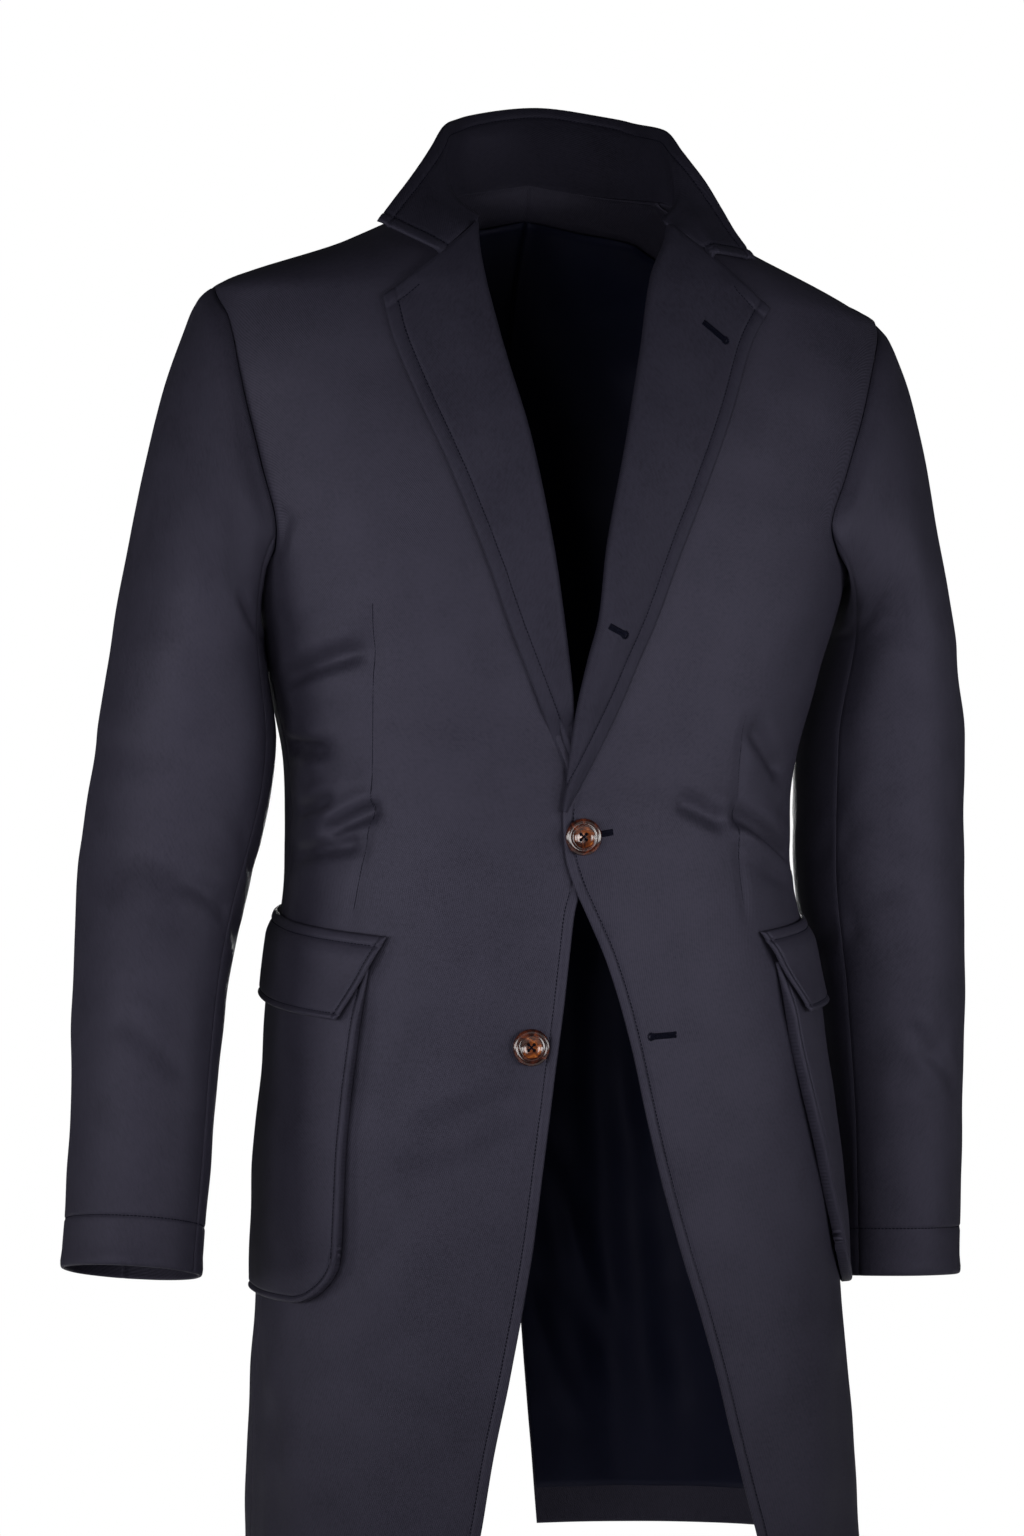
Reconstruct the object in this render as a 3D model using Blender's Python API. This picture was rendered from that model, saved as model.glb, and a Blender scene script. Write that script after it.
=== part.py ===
"""Overcoat kept in its worn form: single-breasted, turned-up collar, notched lapels, patch pockets.

Metres, +Z up. The front faces -Y and the wearer's right side is at -X.
The origin is the middle of the neck base, where the shoulders carry the coat.
"""
import math

import bpy
import numpy as np

# Finishes: name, colour, roughness
SHELL = ("shell", (0.024, 0.025, 0.036), 0.62)
LINED = ("lining", (0.009, 0.011, 0.026), 0.45)
HORN = ("horn", (0.052, 0.016, 0.010), 0.22)

# Cloth, lining and the gap at each seam
CLOTH = 0.0026
LINING = 0.0012
SEAM_GAP = 0.0004
HALF_GAP = 0.00018

# Main heights
HEM_Z = -0.906
ARMPIT_Z = -0.252
TIP_Z = -0.060
NECK_BACK_Z = 0.014
VENT_TOP_Z = -0.580
VENT_SPREAD_DEG = 9.0
LINING_ABOVE_HEM = 0.026
RIGHT = -1.0
LEFT = 1.0

# Body sections: height, half width, front depth, back depth, shift to the left
SQUARENESS = 2.4
SECTIONS = (
    (0.020, 0.0600, 0.050, 0.052, 0.0),
    (0.000, 0.0780, 0.062, 0.056, 0.0),
    (-0.030, 0.1330, 0.080, 0.079, 0.0),
    (-0.056, 0.2140, 0.090, 0.095, 0.0),
    (-0.064, 0.2255, 0.093, 0.099, 0.0),
    (-0.110, 0.2300, 0.105, 0.116, 0.0),
    (-0.180, 0.2190, 0.116, 0.127, 0.0),
    (-0.250, 0.2030, 0.120, 0.126, 0.0),
    (-0.320, 0.1842, 0.119, 0.118, -0.0018),
    (-0.400, 0.1685, 0.117, 0.110, -0.0054),
    (-0.440, 0.1690, 0.117, 0.111, -0.0058),
    (-0.500, 0.1775, 0.119, 0.117, -0.0034),
    (-0.600, 0.1880, 0.121, 0.124, -0.0005),
    (-0.728, 0.1965, 0.124, 0.130, 0.0020),
    (-0.800, 0.2025, 0.126, 0.133, 0.0035),
    (-0.906, 0.2070, 0.128, 0.136, 0.0055),
)
# The left shoulder is carried lower: distance out where that starts, its run, and the drop
LOW_SHOULDER_START = 0.095
LOW_SHOULDER_RUN = 0.130
LOW_SHOULDER_DROP = 0.0211

# Inner edge of each front: height, angle from the centre front in degrees
EDGE_RIGHT = (
    (-0.906, -35.5), (-0.867, -32.5), (-0.822, -29.5), (-0.770, -25.0), (-0.692, -18.5),
    (-0.628, -14.3), (-0.568, -10.1), (-0.532, -7.2), (-0.496, -4.7), (-0.470, -2.5),
    (-0.440, 2.0), (-0.410, 2.0), (-0.380, -4.0), (-0.340, -10.5), (-0.274, -14.5),
    (-0.232, -17.5), (-0.163, -24.0), (-0.114, -31.5), (-0.065, -40.0), (-0.024, -52.0),
    (-0.010, -68.0), (0.000, -88.0),
)
EDGE_LEFT = (
    (-0.906, 45.5), (-0.875, 43.2), (-0.813, 38.1), (-0.752, 33.2), (-0.695, 26.9),
    (-0.630, 19.8), (-0.566, 14.1), (-0.529, 10.2), (-0.500, 6.2), (-0.470, 0.6),
    (-0.453, -2.6), (-0.431, -5.5), (-0.404, -6.4), (-0.385, -2.5), (-0.360, 0.5),
    (-0.340, 2.5), (-0.300, 5.5), (-0.239, 9.5), (-0.177, 15.5), (-0.110, 24.0),
    (-0.059, 35.0), (-0.024, 50.0), (-0.010, 68.0), (0.000, 88.0),
)

# Armhole: share of the way from the armpit to the shoulder, height, angle on the right front, on the left
# front and on the backs
ARMHOLE = (
    (0.00, -0.252, 90.0, 90.0, 90.0),
    (0.08, -0.247, 82.0, 78.0, 100.0),
    (0.16, -0.236, 75.0, 69.5, 108.0),
    (0.28, -0.215, 73.5, 66.0, 112.0),
    (0.45, -0.180, 75.0, 68.8, 112.0),
    (0.62, -0.145, 76.5, 71.5, 110.0),
    (0.78, -0.110, 78.5, 75.0, 106.0),
    (0.90, -0.083, 81.5, 80.0, 100.0),
    (1.00, -0.060, 90.0, 90.0, 90.0),
)

# Folds: side, angle and height of both ends, half width, depth
FOLDS = (
    (RIGHT, 79.0, -0.316, 57.0, -0.299, 0.012, 0.0030),
    (RIGHT, 88.0, -0.364, 68.0, -0.366, 0.011, 0.0034),
    (RIGHT, 88.0, -0.409, 70.0, -0.398, 0.009, 0.0026),
    (RIGHT, 71.0, -0.420, 56.0, -0.403, 0.009, 0.0032),
    (RIGHT, 88.0, -0.438, 60.0, -0.426, 0.009, 0.0030),
    (LEFT, 51.0, -0.349, 66.0, -0.384, 0.011, 0.0030),
    (LEFT, 29.5, -0.396, 46.0, -0.414, 0.012, 0.0022),
    (LEFT, 48.5, -0.405, 74.0, -0.440, 0.010, 0.0042),
    (RIGHT, 20.0, -0.607, 50.0, -0.648, 0.020, 0.0024),
)
FOLD_RADIUS = 0.150

# Sleeves: height, distance out, Y, half width, half depth
SLEEVE_RIGHT = (
    (-0.300, 0.2402, 0.012, 0.0500, 0.0764),
    (-0.360, 0.2408, 0.014, 0.0585, 0.0724),
    (-0.440, 0.2550, 0.011, 0.0557, 0.0684),
    (-0.530, 0.2702, -0.010, 0.0494, 0.0624),
    (-0.630, 0.2800, -0.032, 0.0462, 0.0554),
    (-0.707, 0.2880, -0.046, 0.0452, 0.0514),
)
SLEEVE_LEFT = (
    (-0.300, 0.2440, 0.030, 0.0469, 0.0764),
    (-0.360, 0.2430, 0.034, 0.0564, 0.0724),
    (-0.440, 0.2435, 0.036, 0.0574, 0.0684),
    (-0.530, 0.2490, 0.036, 0.0524, 0.0624),
    (-0.630, 0.2520, 0.033, 0.0474, 0.0554),
    (-0.726, 0.2510, 0.026, 0.0452, 0.0514),
)
FOREARM_SEAM_SHARE = 0.22
HIND_SEAM_SHARE = 0.48
HEAD_PULL = 0.090
ARM_PULL = 0.120

# Lapels, from the gorge down: angle and height on the roll line, angle and height on the outer edge
LAPEL_RIGHT = (
    (-41.5, -0.024, -57.0, -0.072),
    (-34.2, -0.065, -53.7, -0.098),
    (-26.2, -0.114, -47.5, -0.137),
    (-18.7, -0.163, -40.3, -0.179),
    (-11.9, -0.232, -30.5, -0.242),
    (-8.8, -0.274, -24.9, -0.281),
    (-4.4, -0.330, -15.5, -0.333),
    (-6.2, -0.353, -9.4, -0.362),
)
LAPEL_LEFT = (
    (41.5, -0.024, 57.0, -0.072),
    (27.2, -0.059, 50.5, -0.099),
    (18.5, -0.110, 43.5, -0.143),
    (10.1, -0.177, 34.5, -0.197),
    (3.9, -0.239, 26.5, -0.243),
    (2.0, -0.279, 20.5, -0.281),
    (-0.9, -0.305, 15.8, -0.306),
    (-3.9, -0.338, 9.9, -0.338),
    (-5.2, -0.368, 3.5, -0.369),
    (-6.0, -0.392, -2.5, -0.394),
)
# Share of the lapel's width, stand-off of its under face from the front
LAPEL_ROLL = (
    (0.00, -0.0020), (0.05, 0.0016), (0.14, 0.0048), (0.32, 0.0054), (0.58, 0.0036), (0.82, 0.0016),
    (1.00, 0.0007),
)
OVERLAP_LIFT = CLOTH + 0.0005
OVERLAP_END_DEG = (9.0, 28.0)

# Collar, from the notch to the centre back: seam (angle, height, stand-off), crease and free edge (x, y, z)
COLLAR_CLOTH = 0.0030
COLLAR_LEFT_DROP = 0.014
COLLAR = (
    (49.0, -0.0464, 0.0042, 0.0965, -0.0885, -0.0415, 0.1290, -0.0640, -0.0230),
    (45.4, -0.0344, 0.0050, 0.0880, -0.0660, -0.0190, 0.1170, -0.0520, -0.0090),
    (42.6, -0.0218, 0.0010, 0.0845, -0.0520, -0.0080, 0.1095, -0.0435, 0.0005),
    (53.0, -0.0155, 0.0000, 0.0815, -0.0380, 0.0060, 0.1020, -0.0350, 0.0110),
    (74.0, -0.0054, 0.0000, 0.0800, -0.0180, 0.0260, 0.0890, -0.0180, 0.0290),
    (90.0, 0.0008, 0.0000, 0.0750, 0.0080, 0.0400, 0.0770, 0.0080, 0.0480),
    (135.0, 0.0078, 0.0000, 0.0560, 0.0480, 0.0450, 0.0590, 0.0540, 0.0570),
    (180.0, 0.0148, 0.0000, 0.0000, 0.0660, 0.0500, 0.0000, 0.0750, 0.0670),
)
# Shift of the collar to the left, by its row: of the right half, of the left half
COLLAR_SHIFT = (
    (0.0, 0.0000, -0.0010), (2.0, 0.0020, -0.0005), (4.0, 0.0050, 0.0020), (5.0, 0.0080, 0.0080),
    (6.0, 0.0120, 0.0120), (7.0, 0.0130, 0.0130),
)

# Pockets: height and angle of the front edge, then the common sizes
POCKET_FRONT_RIGHT = ((-0.728, -64.0), (-0.684, -61.9), (-0.629, -61.5), (-0.557, -59.4), (-0.485, -56.0))
POCKET_FRONT_LEFT = ((-0.728, 75.0), (-0.690, 71.0), (-0.647, 66.8), (-0.580, 61.0), (-0.485, 56.0))
POCKET_BACK_DEG = 110.0
POCKET_BOTTOM_Z = -0.724
POCKET_CORNER = 0.030
POCKET_PUFF = 0.0035
FLAP_TOP_Z = -0.485
FLAP_RISE = 0.011
FLAP_DROP = 0.057
FLAP_FRONT_DEG = (53.0, 62.5)
BAG_BELOW_FLAP_TOP = 0.020
ON_TOP = 0.0010

# Buttons: radius, thickness, rim, hole circle, hole radius
BUTTON_R = 0.0120
BUTTON_T = 0.0042
BUTTON_RIM = 0.0026
BUTTON_DISH = 0.0012
BUTTON_HOLE_AT = 0.0026
BUTTON_HOLE_R = 0.0011
BUTTON_TOP = (0.0, -0.4205)
BUTTON_LOWER = (-17.8, -0.5560)


def smooth(table, column, at):
    """Monotone cubic through one column of a table, by its first column."""
    rows = np.array(sorted(table), dtype=float)
    xs, ys = rows[:, 0], rows[:, column]
    step = np.diff(xs)
    slope = np.diff(ys) / step
    tangent = np.zeros(len(xs))
    tangent[0], tangent[-1] = slope[0], slope[-1]
    for k in range(1, len(xs) - 1):
        if slope[k - 1] * slope[k] > 0:
            tangent[k] = 2 * slope[k - 1] * slope[k] / (slope[k - 1] + slope[k])
    at = np.clip(np.asarray(at, dtype=float), xs[0], xs[-1])
    k = np.clip(np.searchsorted(xs, at, side="right") - 1, 0, len(step) - 1)
    t = (at - xs[k]) / step[k]
    rise = step[k]
    return (ys[k] * (1 + 2 * t) * (1 - t) ** 2 + rise * tangent[k] * t * (1 - t) ** 2
            + ys[k + 1] * t * t * (3 - 2 * t) + rise * tangent[k + 1] * t * t * (t - 1))


def ease(t):
    t = np.clip(t, 0.0, 1.0)
    return t * t * (3 - 2 * t)


def unit(v):
    return v / np.maximum(np.linalg.norm(v, axis=-1, keepdims=True), 1e-12)


def fold_depth(phi, z):
    total = np.zeros(np.shape(phi))
    for side, a0, z0, a1, z1, width, depth in FOLDS:
        p0 = np.array((math.radians(side * a0) * FOLD_RADIUS, z0))
        p1 = np.array((math.radians(side * a1) * FOLD_RADIUS, z1))
        run = p1 - p0
        length = np.hypot(*run)
        du, dz = phi * FOLD_RADIUS - p0[0], z - p0[1]
        along = (du * run[0] + dz * run[1]) / length
        across = (dz * run[0] - du * run[1]) / length
        ends = ease((along + 0.012) / 0.024) * ease((length + 0.012 - along) / 0.024)
        total = total + depth * ends * np.exp(-(across / width) ** 2)
    return total


def body(phi, z):
    """Point on the outer face of the body, by angle from the centre front and height."""
    phi, z = np.broadcast_arrays(np.asarray(phi, dtype=float), np.asarray(z, dtype=float))
    half = smooth(SECTIONS, 1, z)
    depth = np.where(np.cos(phi) > 0, smooth(SECTIONS, 2, z), smooth(SECTIONS, 3, z))
    across = np.abs(np.sin(phi) / half) ** SQUARENESS
    along = np.abs(np.cos(phi) / depth) ** SQUARENESS
    radius = (across + along) ** (-1 / SQUARENESS) - fold_depth(phi, z)
    x = smooth(SECTIONS, 4, z) + radius * np.sin(phi)
    out = np.clip((x - LOW_SHOULDER_START) / LOW_SHOULDER_RUN, 0, 1) ** 1.4
    drop = LOW_SHOULDER_DROP * out * ease((z - ARMPIT_Z) / 0.150)
    return np.stack((x, -radius * np.cos(phi), z - drop), axis=-1)


def body_normal(phi, z):
    d_phi, d_z = 0.004, 0.0008
    around = body(phi + d_phi, z) - body(phi - d_phi, z)
    up = body(phi, z + d_z) - body(phi, z - d_z)
    return unit(np.cross(around, up))


def off_body(phi, z, lift):
    return body(phi, z) + np.asarray(lift)[..., None] * body_normal(phi, z)


def overlap(phi):
    """The left front lies over the right one near the centre front."""
    start, end = np.radians(OVERLAP_END_DEG)
    return OVERLAP_LIFT * (1 - ease((phi - start) / (end - start)))


def finish(look):
    name, colour, roughness = look
    material = bpy.data.materials.get(name)
    if material is None:
        material = bpy.data.materials.new(name)
        material.use_nodes = True
        shader = material.node_tree.nodes["Principled BSDF"]
        shader.inputs["Base Color"].default_value = colour + (1.0,)
        shader.inputs["Roughness"].default_value = roughness
        shader.inputs["Metallic"].default_value = 0.0
    return material


def wall(name, outer, inner, look=SHELL):
    """Closed wall between two grids of points."""
    rows, cols = outer.shape[:2]
    count = rows * cols
    points = np.concatenate((outer.reshape(-1, 3), inner.reshape(-1, 3)))
    faces = []
    for i in range(rows - 1):
        for j in range(cols - 1):
            a, b = i * cols + j, i * cols + j + 1
            c, d = b + cols, a + cols
            if np.linalg.norm(points[a] - points[c]) > np.linalg.norm(points[b] - points[d]):
                a, b, c, d = b, c, d, a
            for p, q, r in ((a, b, c), (a, c, d)):
                faces.append((p, q, r))
                faces.append((r + count, q + count, p + count))
    rim = [j for j in range(cols)] + [i * cols + cols - 1 for i in range(1, rows)]
    rim += [(rows - 1) * cols + j for j in range(cols - 2, -1, -1)] + [i * cols for i in range(rows - 2, 0, -1)]
    for a, b in zip(rim, rim[1:] + rim[:1]):
        if np.linalg.norm(points[b] - points[a + count]) < np.linalg.norm(points[a] - points[b + count]):
            faces += [(b, a, a + count), (b, a + count, b + count)]
        else:
            faces += [(b, a, b + count), (a, a + count, b + count)]
    return solid(name, points, faces, look)


def solid(name, points, faces, look):
    volume = 0.0
    for face in faces:
        for k in range(1, len(face) - 1):
            p, q, r = points[face[0]], points[face[k]], points[face[k + 1]]
            volume += float(np.dot(p, np.cross(q, r)))
    if volume < 0:
        faces = [tuple(reversed(face)) for face in faces]
    mesh = bpy.data.meshes.new(name)
    mesh.from_pydata([tuple(float(c) for c in p) for p in points], [], faces)
    mesh.update()
    mesh.materials.append(finish(look))
    mesh.shade_smooth()
    mesh.set_sharp_from_angle(angle=math.radians(40))
    thing = bpy.data.objects.new(name, mesh)
    bpy.context.scene.collection.objects.link(thing)
    return thing


def lay_flat(at):
    """(Angle, height) on a positive side to (distance across, height)."""
    phi, z = at[..., 0], at[..., 1]
    half = smooth(SECTIONS, 1, z)
    depth = np.where(np.cos(phi) > 0, smooth(SECTIONS, 2, z), smooth(SECTIONS, 3, z))
    far = (np.abs(np.sin(phi) / half) ** SQUARENESS + np.abs(np.cos(phi) / depth) ** SQUARENESS) ** (-1 / SQUARENESS)
    return np.stack((far * np.sin(phi), z), axis=-1)


def wrap_round(flat, back):
    """(Distance across, height) back to (angle, height) on the front or the back."""
    x, z = flat[..., 0], flat[..., 1]
    depth = smooth(SECTIONS, 3 if back else 2, z)
    share = np.clip(x / smooth(SECTIONS, 1, z), 0, 1)
    reach = depth * (1 - share ** SQUARENESS) ** (1 / SQUARENESS)
    return np.stack((np.arctan2(x, -reach if back else reach), z), axis=-1)


def coons(bottom, top, inner, outer, u, v):
    """Blend four edges, each an array of (across, height), into a grid."""
    u, v = 1 - (1 - u[None, :, None]) ** ARMHOLE_REACH, v[:, None, None]
    sides = (1 - v) * bottom[None] + v * top[None] + (1 - u) * inner[:, None] + u * outer[:, None]
    corners = ((1 - u) * (1 - v) * bottom[0] + u * (1 - v) * bottom[-1]
               + (1 - u) * v * top[0] + u * v * top[-1])
    return sides - corners


FRONT_ROWS = np.concatenate((np.linspace(HEM_Z, -0.470, 12), np.linspace(-0.456, -0.290, 14), (-0.271, ARMPIT_Z)))
BACK_ROWS = np.concatenate((np.linspace(HEM_Z, VENT_TOP_Z, 6), np.linspace(-0.530, ARMPIT_Z, 12)))
UPPER = np.array((0.0, 0.06, 0.13, 0.22, 0.34, 0.48, 0.62, 0.75, 0.85, 0.92, 0.97, 1.0))
FRONT_COLS = 13
BACK_COLS = 11
BACK_NECK_COL = 4
ARMHOLE_REACH = 2.0


def armhole(share, side, back):
    column = 4 if back else 2 if side < 0 else 3
    return np.stack((np.radians(smooth(ARMHOLE, column, share)), smooth(ARMHOLE, 1, share)), axis=-1)


def pairs(phi, z):
    phi, z = np.broadcast_arrays(np.asarray(phi, dtype=float), np.asarray(z, dtype=float))
    return np.stack((phi, z), axis=-1)


def front_grid(side):
    """Angle and height of each point of a front, from the hem up and from the edge to the side."""
    table = EDGE_RIGHT if side < 0 else EDGE_LEFT
    u = np.linspace(0.0, 1.0, FRONT_COLS)
    edge = side * np.radians(smooth(table, 1, FRONT_ROWS))
    low = edge[:, None] + (math.pi / 2 - edge[:, None]) * u[None]
    lower = pairs(low, FRONT_ROWS[:, None])
    inner_z = ARMPIT_Z * (1 - UPPER)
    inner = pairs(side * np.radians(smooth(table, 1, inner_z)), inner_z)
    top = pairs(math.pi / 2 + (inner[-1, 0] - math.pi / 2) * (1 - u), TIP_Z * u)
    upper = coons(lay_flat(lower[-1]), lay_flat(top), lay_flat(inner), lay_flat(armhole(UPPER, side, False)), u, UPPER)
    grid = np.concatenate((lower, wrap_round(upper[1:], False)))
    limit = math.pi / 2 - HALF_GAP / smooth(SECTIONS, 1, grid[..., 1])
    grid[..., 0] = side * np.minimum(grid[..., 0], limit)
    return grid


def back_grid(side):
    """Angle and height of each point of a back, from the hem up and from the centre back to the side."""
    u = np.linspace(0.0, 1.0, BACK_COLS)
    spread = np.radians(VENT_SPREAD_DEG) * np.clip((VENT_TOP_Z - BACK_ROWS) / (VENT_TOP_Z - HEM_Z), 0, 1)
    centre = math.pi - spread
    low = centre[:, None] + (math.pi / 2 - centre[:, None]) * u[None]
    lower = pairs(low, BACK_ROWS[:, None])
    neck = u[BACK_NECK_COL]
    on_neck = np.clip(u / neck, 0, 1)
    on_shoulder = np.clip((u - neck) / (1 - neck), 0, 1)
    top = pairs(math.pi - math.pi / 2 * on_neck, NECK_BACK_Z * (1 - on_neck) + TIP_Z * on_shoulder)
    inner = pairs(math.pi, ARMPIT_Z + (NECK_BACK_Z - ARMPIT_Z) * UPPER)
    upper = coons(lay_flat(lower[-1]), lay_flat(top), lay_flat(inner), lay_flat(armhole(UPPER, side, True)), u, UPPER)
    grid = np.concatenate((lower, wrap_round(upper[1:], True)))
    low_limit = math.pi / 2 + HALF_GAP / smooth(SECTIONS, 1, grid[..., 1])
    high_limit = math.pi - HALF_GAP / smooth(SECTIONS, 3, grid[..., 1])
    grid[..., 0] = side * np.clip(grid[..., 0], low_limit, high_limit)
    return grid


def armhole_inward(points):
    """Direction from the armhole's edge toward its middle, across the way through."""
    middle_y, middle_z = 0.004, 0.5 * (ARMPIT_Z + TIP_Z)
    way = np.stack((np.zeros(points.shape[:-1]), middle_y - points[..., 1], middle_z - points[..., 2]), axis=-1)
    return unit(way)


def panel(name, grid, lift, first_upper):
    outer = off_body(grid[..., 0], grid[..., 1], lift)
    inward = -body_normal(grid[..., 0], grid[..., 1])
    inward[first_upper:, -1] = armhole_inward(outer[first_upper:, -1])
    return wall(name, outer, outer + CLOTH * inward)


def make_body():
    for side, word in ((RIGHT, "right"), (LEFT, "left")):
        grid = front_grid(side)
        lift = overlap(grid[..., 0]) if side > 0 else np.zeros(grid.shape[:2])
        panel("front_" + word, grid, lift, len(FRONT_ROWS) - 1)
        grid = back_grid(side)
        panel("back_" + word, grid, np.zeros(grid.shape[:2]), len(BACK_ROWS) - 1)
        make_lining("lining_" + word, grid)


def make_lining(name, grid):
    """Thin lining inside a back, short of the hem, the armhole and the neck."""
    keep = grid[1:-2, :-1].copy()
    keep[0, :, 1] = HEM_Z + LINING_ABOVE_HEM
    side = np.sign(keep[0, 0, 0])
    keep[..., 0] -= side * np.array((0.02,) + (0.0,) * (keep.shape[1] - 1))
    outer = off_body(keep[..., 0], keep[..., 1], np.full(keep.shape[:2], -(CLOTH + SEAM_GAP)))
    wall(name, outer, outer - LINING * body_normal(keep[..., 0], keep[..., 1]), LINED)


def sleeve_ring(table, side, psi, z):
    step = 0.002
    top, low = table[0][0], table[-1][0]
    above, below = np.minimum(z + step, top), np.maximum(z - step, low)
    run = above - below
    lean_x = (smooth(table, 1, below) - smooth(table, 1, above)) / run
    lean_y = (smooth(table, 2, below) - smooth(table, 2, above)) / run
    dx = smooth(table, 3, z) * np.cos(psi)
    dy = -smooth(table, 4, z) * np.sin(psi)
    x = smooth(table, 1, z) + dx
    y = smooth(table, 2, z) + dy
    return np.stack((side * x, y, z + lean_x * dx + lean_y * dy), axis=-1)


def sleeve(table, side, psi, s):
    """Point on a sleeve: psi from the outer side over the front, s 0 to 1 is the head and 1 to 2 the arm."""
    psi, s = np.broadcast_arrays(np.asarray(psi, dtype=float), np.asarray(s, dtype=float))
    top, low = table[0][0], table[-1][0]
    arm = sleeve_ring(table, side, psi, top + (low - top) * np.clip(s - 1, 0, 1))
    turn = np.mod(psi, 2 * math.pi)
    on_front = turn <= math.pi
    share = np.where(on_front, 1 - turn / math.pi, turn / math.pi - 1)
    fore, hind = armhole(share, side, False), armhole(share, side, True)
    at = np.where(on_front[..., None], fore, hind)
    seam = body(side * at[..., 0], at[..., 1])
    seam = seam + np.array((side * SEAM_GAP, 0, 0))
    leave = 0.75 * np.array((side, 0, 0)) - 0.35 * armhole_inward(seam) + np.array((0, 0, -0.6))
    down = sleeve_ring(table, side, psi, np.full(s.shape, top - 0.004)) - sleeve_ring(
        table, side, psi, np.full(s.shape, top))
    t = np.clip(s, 0, 1)[..., None]
    ring = sleeve_ring(table, side, psi, np.full(s.shape, top))
    chord = np.linalg.norm(ring - seam, axis=-1, keepdims=True)
    head = ((1 + 2 * t) * (1 - t) ** 2 * seam + t * (1 - t) ** 2 * np.minimum(HEAD_PULL, 0.75 * chord) * unit(leave)
            + t * t * (3 - 2 * t) * ring + t * t * (t - 1) * np.minimum(ARM_PULL, 0.75 * chord) * unit(down))
    return np.where((s <= 1)[..., None], head, arm)


def sleeve_inward(table, side, psi, s):
    d = 0.01
    lower, upper = np.minimum(s + d, 2.0), np.maximum(s - d, 0.0)
    around = sleeve(table, side, psi + d, s) - sleeve(table, side, psi - d, s)
    along = sleeve(table, side, psi, lower) - sleeve(table, side, psi, upper)
    return side * unit(np.cross(along, around))


SLEEVE_STEPS = np.concatenate((np.array((0.0, 0.06, 0.13, 0.22, 0.34, 0.48, 0.64, 0.82)), np.linspace(1.0, 2.0, 13)))
FRONT_TURN = math.pi * (1 - UPPER[::-1])
BACK_TURN = math.pi * (1 + UPPER)


def make_sleeves():
    forearm = math.pi * (1 - FOREARM_SEAM_SHARE)
    hind = math.pi * (1 + HIND_SEAM_SHARE)
    ring = np.concatenate((BACK_TURN[BACK_TURN > hind - 0.001][:-1] - 2 * math.pi, FRONT_TURN[:-1], BACK_TURN))
    tables = ((RIGHT, "right", SLEEVE_RIGHT), (LEFT, "left", SLEEVE_LEFT))
    for side, word, table in tables:
        for part, start, end in (("top", hind - 2 * math.pi, forearm), ("under", forearm, hind)):
            psi = ring[(ring > start - 0.001) & (ring < end + 0.001)]
            s, psi = np.meshgrid(SLEEVE_STEPS, psi, indexing="ij")
            near = ease(1 - s / 0.3)[..., None]
            on_seam = armhole_inward(sleeve(table, side, psi, s))
            inward = unit(near * on_seam + (1 - near) * sleeve_inward(table, side, psi, s))
            turn = sleeve(table, side, psi + 0.01, s) - sleeve(table, side, psi - 0.01, s)
            gap = 1.2 * HALF_GAP * 0.02 / np.linalg.norm(turn, axis=-1)
            psi[:, 0] += gap[:, 0]
            psi[:, -1] -= gap[:, -1]
            outer = sleeve(table, side, psi, s)
            wall("sleeve_%s_%s" % (part, word), outer, outer + CLOTH * inward)


LAPEL_ROWS = 13
LAPEL_SHARES = np.array((0.0, 0.05, 0.14, 0.32, 0.55, 0.8, 1.0))


def make_lapels():
    for side, word, table in ((RIGHT, "right", LAPEL_RIGHT), (LEFT, "left", LAPEL_LEFT)):
        numbered = [(k,) + row for k, row in enumerate(table)]
        at = np.linspace(0, len(table) - 1, LAPEL_ROWS)
        q = LAPEL_SHARES[None]
        roll_phi, roll_z, edge_phi, edge_z = (smooth(numbered, c, at)[:, None] for c in (1, 2, 3, 4))
        phi = np.radians(roll_phi + (edge_phi - roll_phi) * q)
        z = roll_z + (edge_z - roll_z) * q
        lift = np.broadcast_to(smooth(LAPEL_ROLL, 1, q), phi.shape)
        if side > 0:
            lift = lift + overlap(phi)
        wall("lapel_" + word, off_body(phi, z, lift + CLOTH), off_body(phi, z, lift))


COLLAR_COLS = 29
COLLAR_SHARES = (0.0, 0.25, 0.5, 0.75, 1.0)
COLLAR_EVENING = 2


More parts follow.
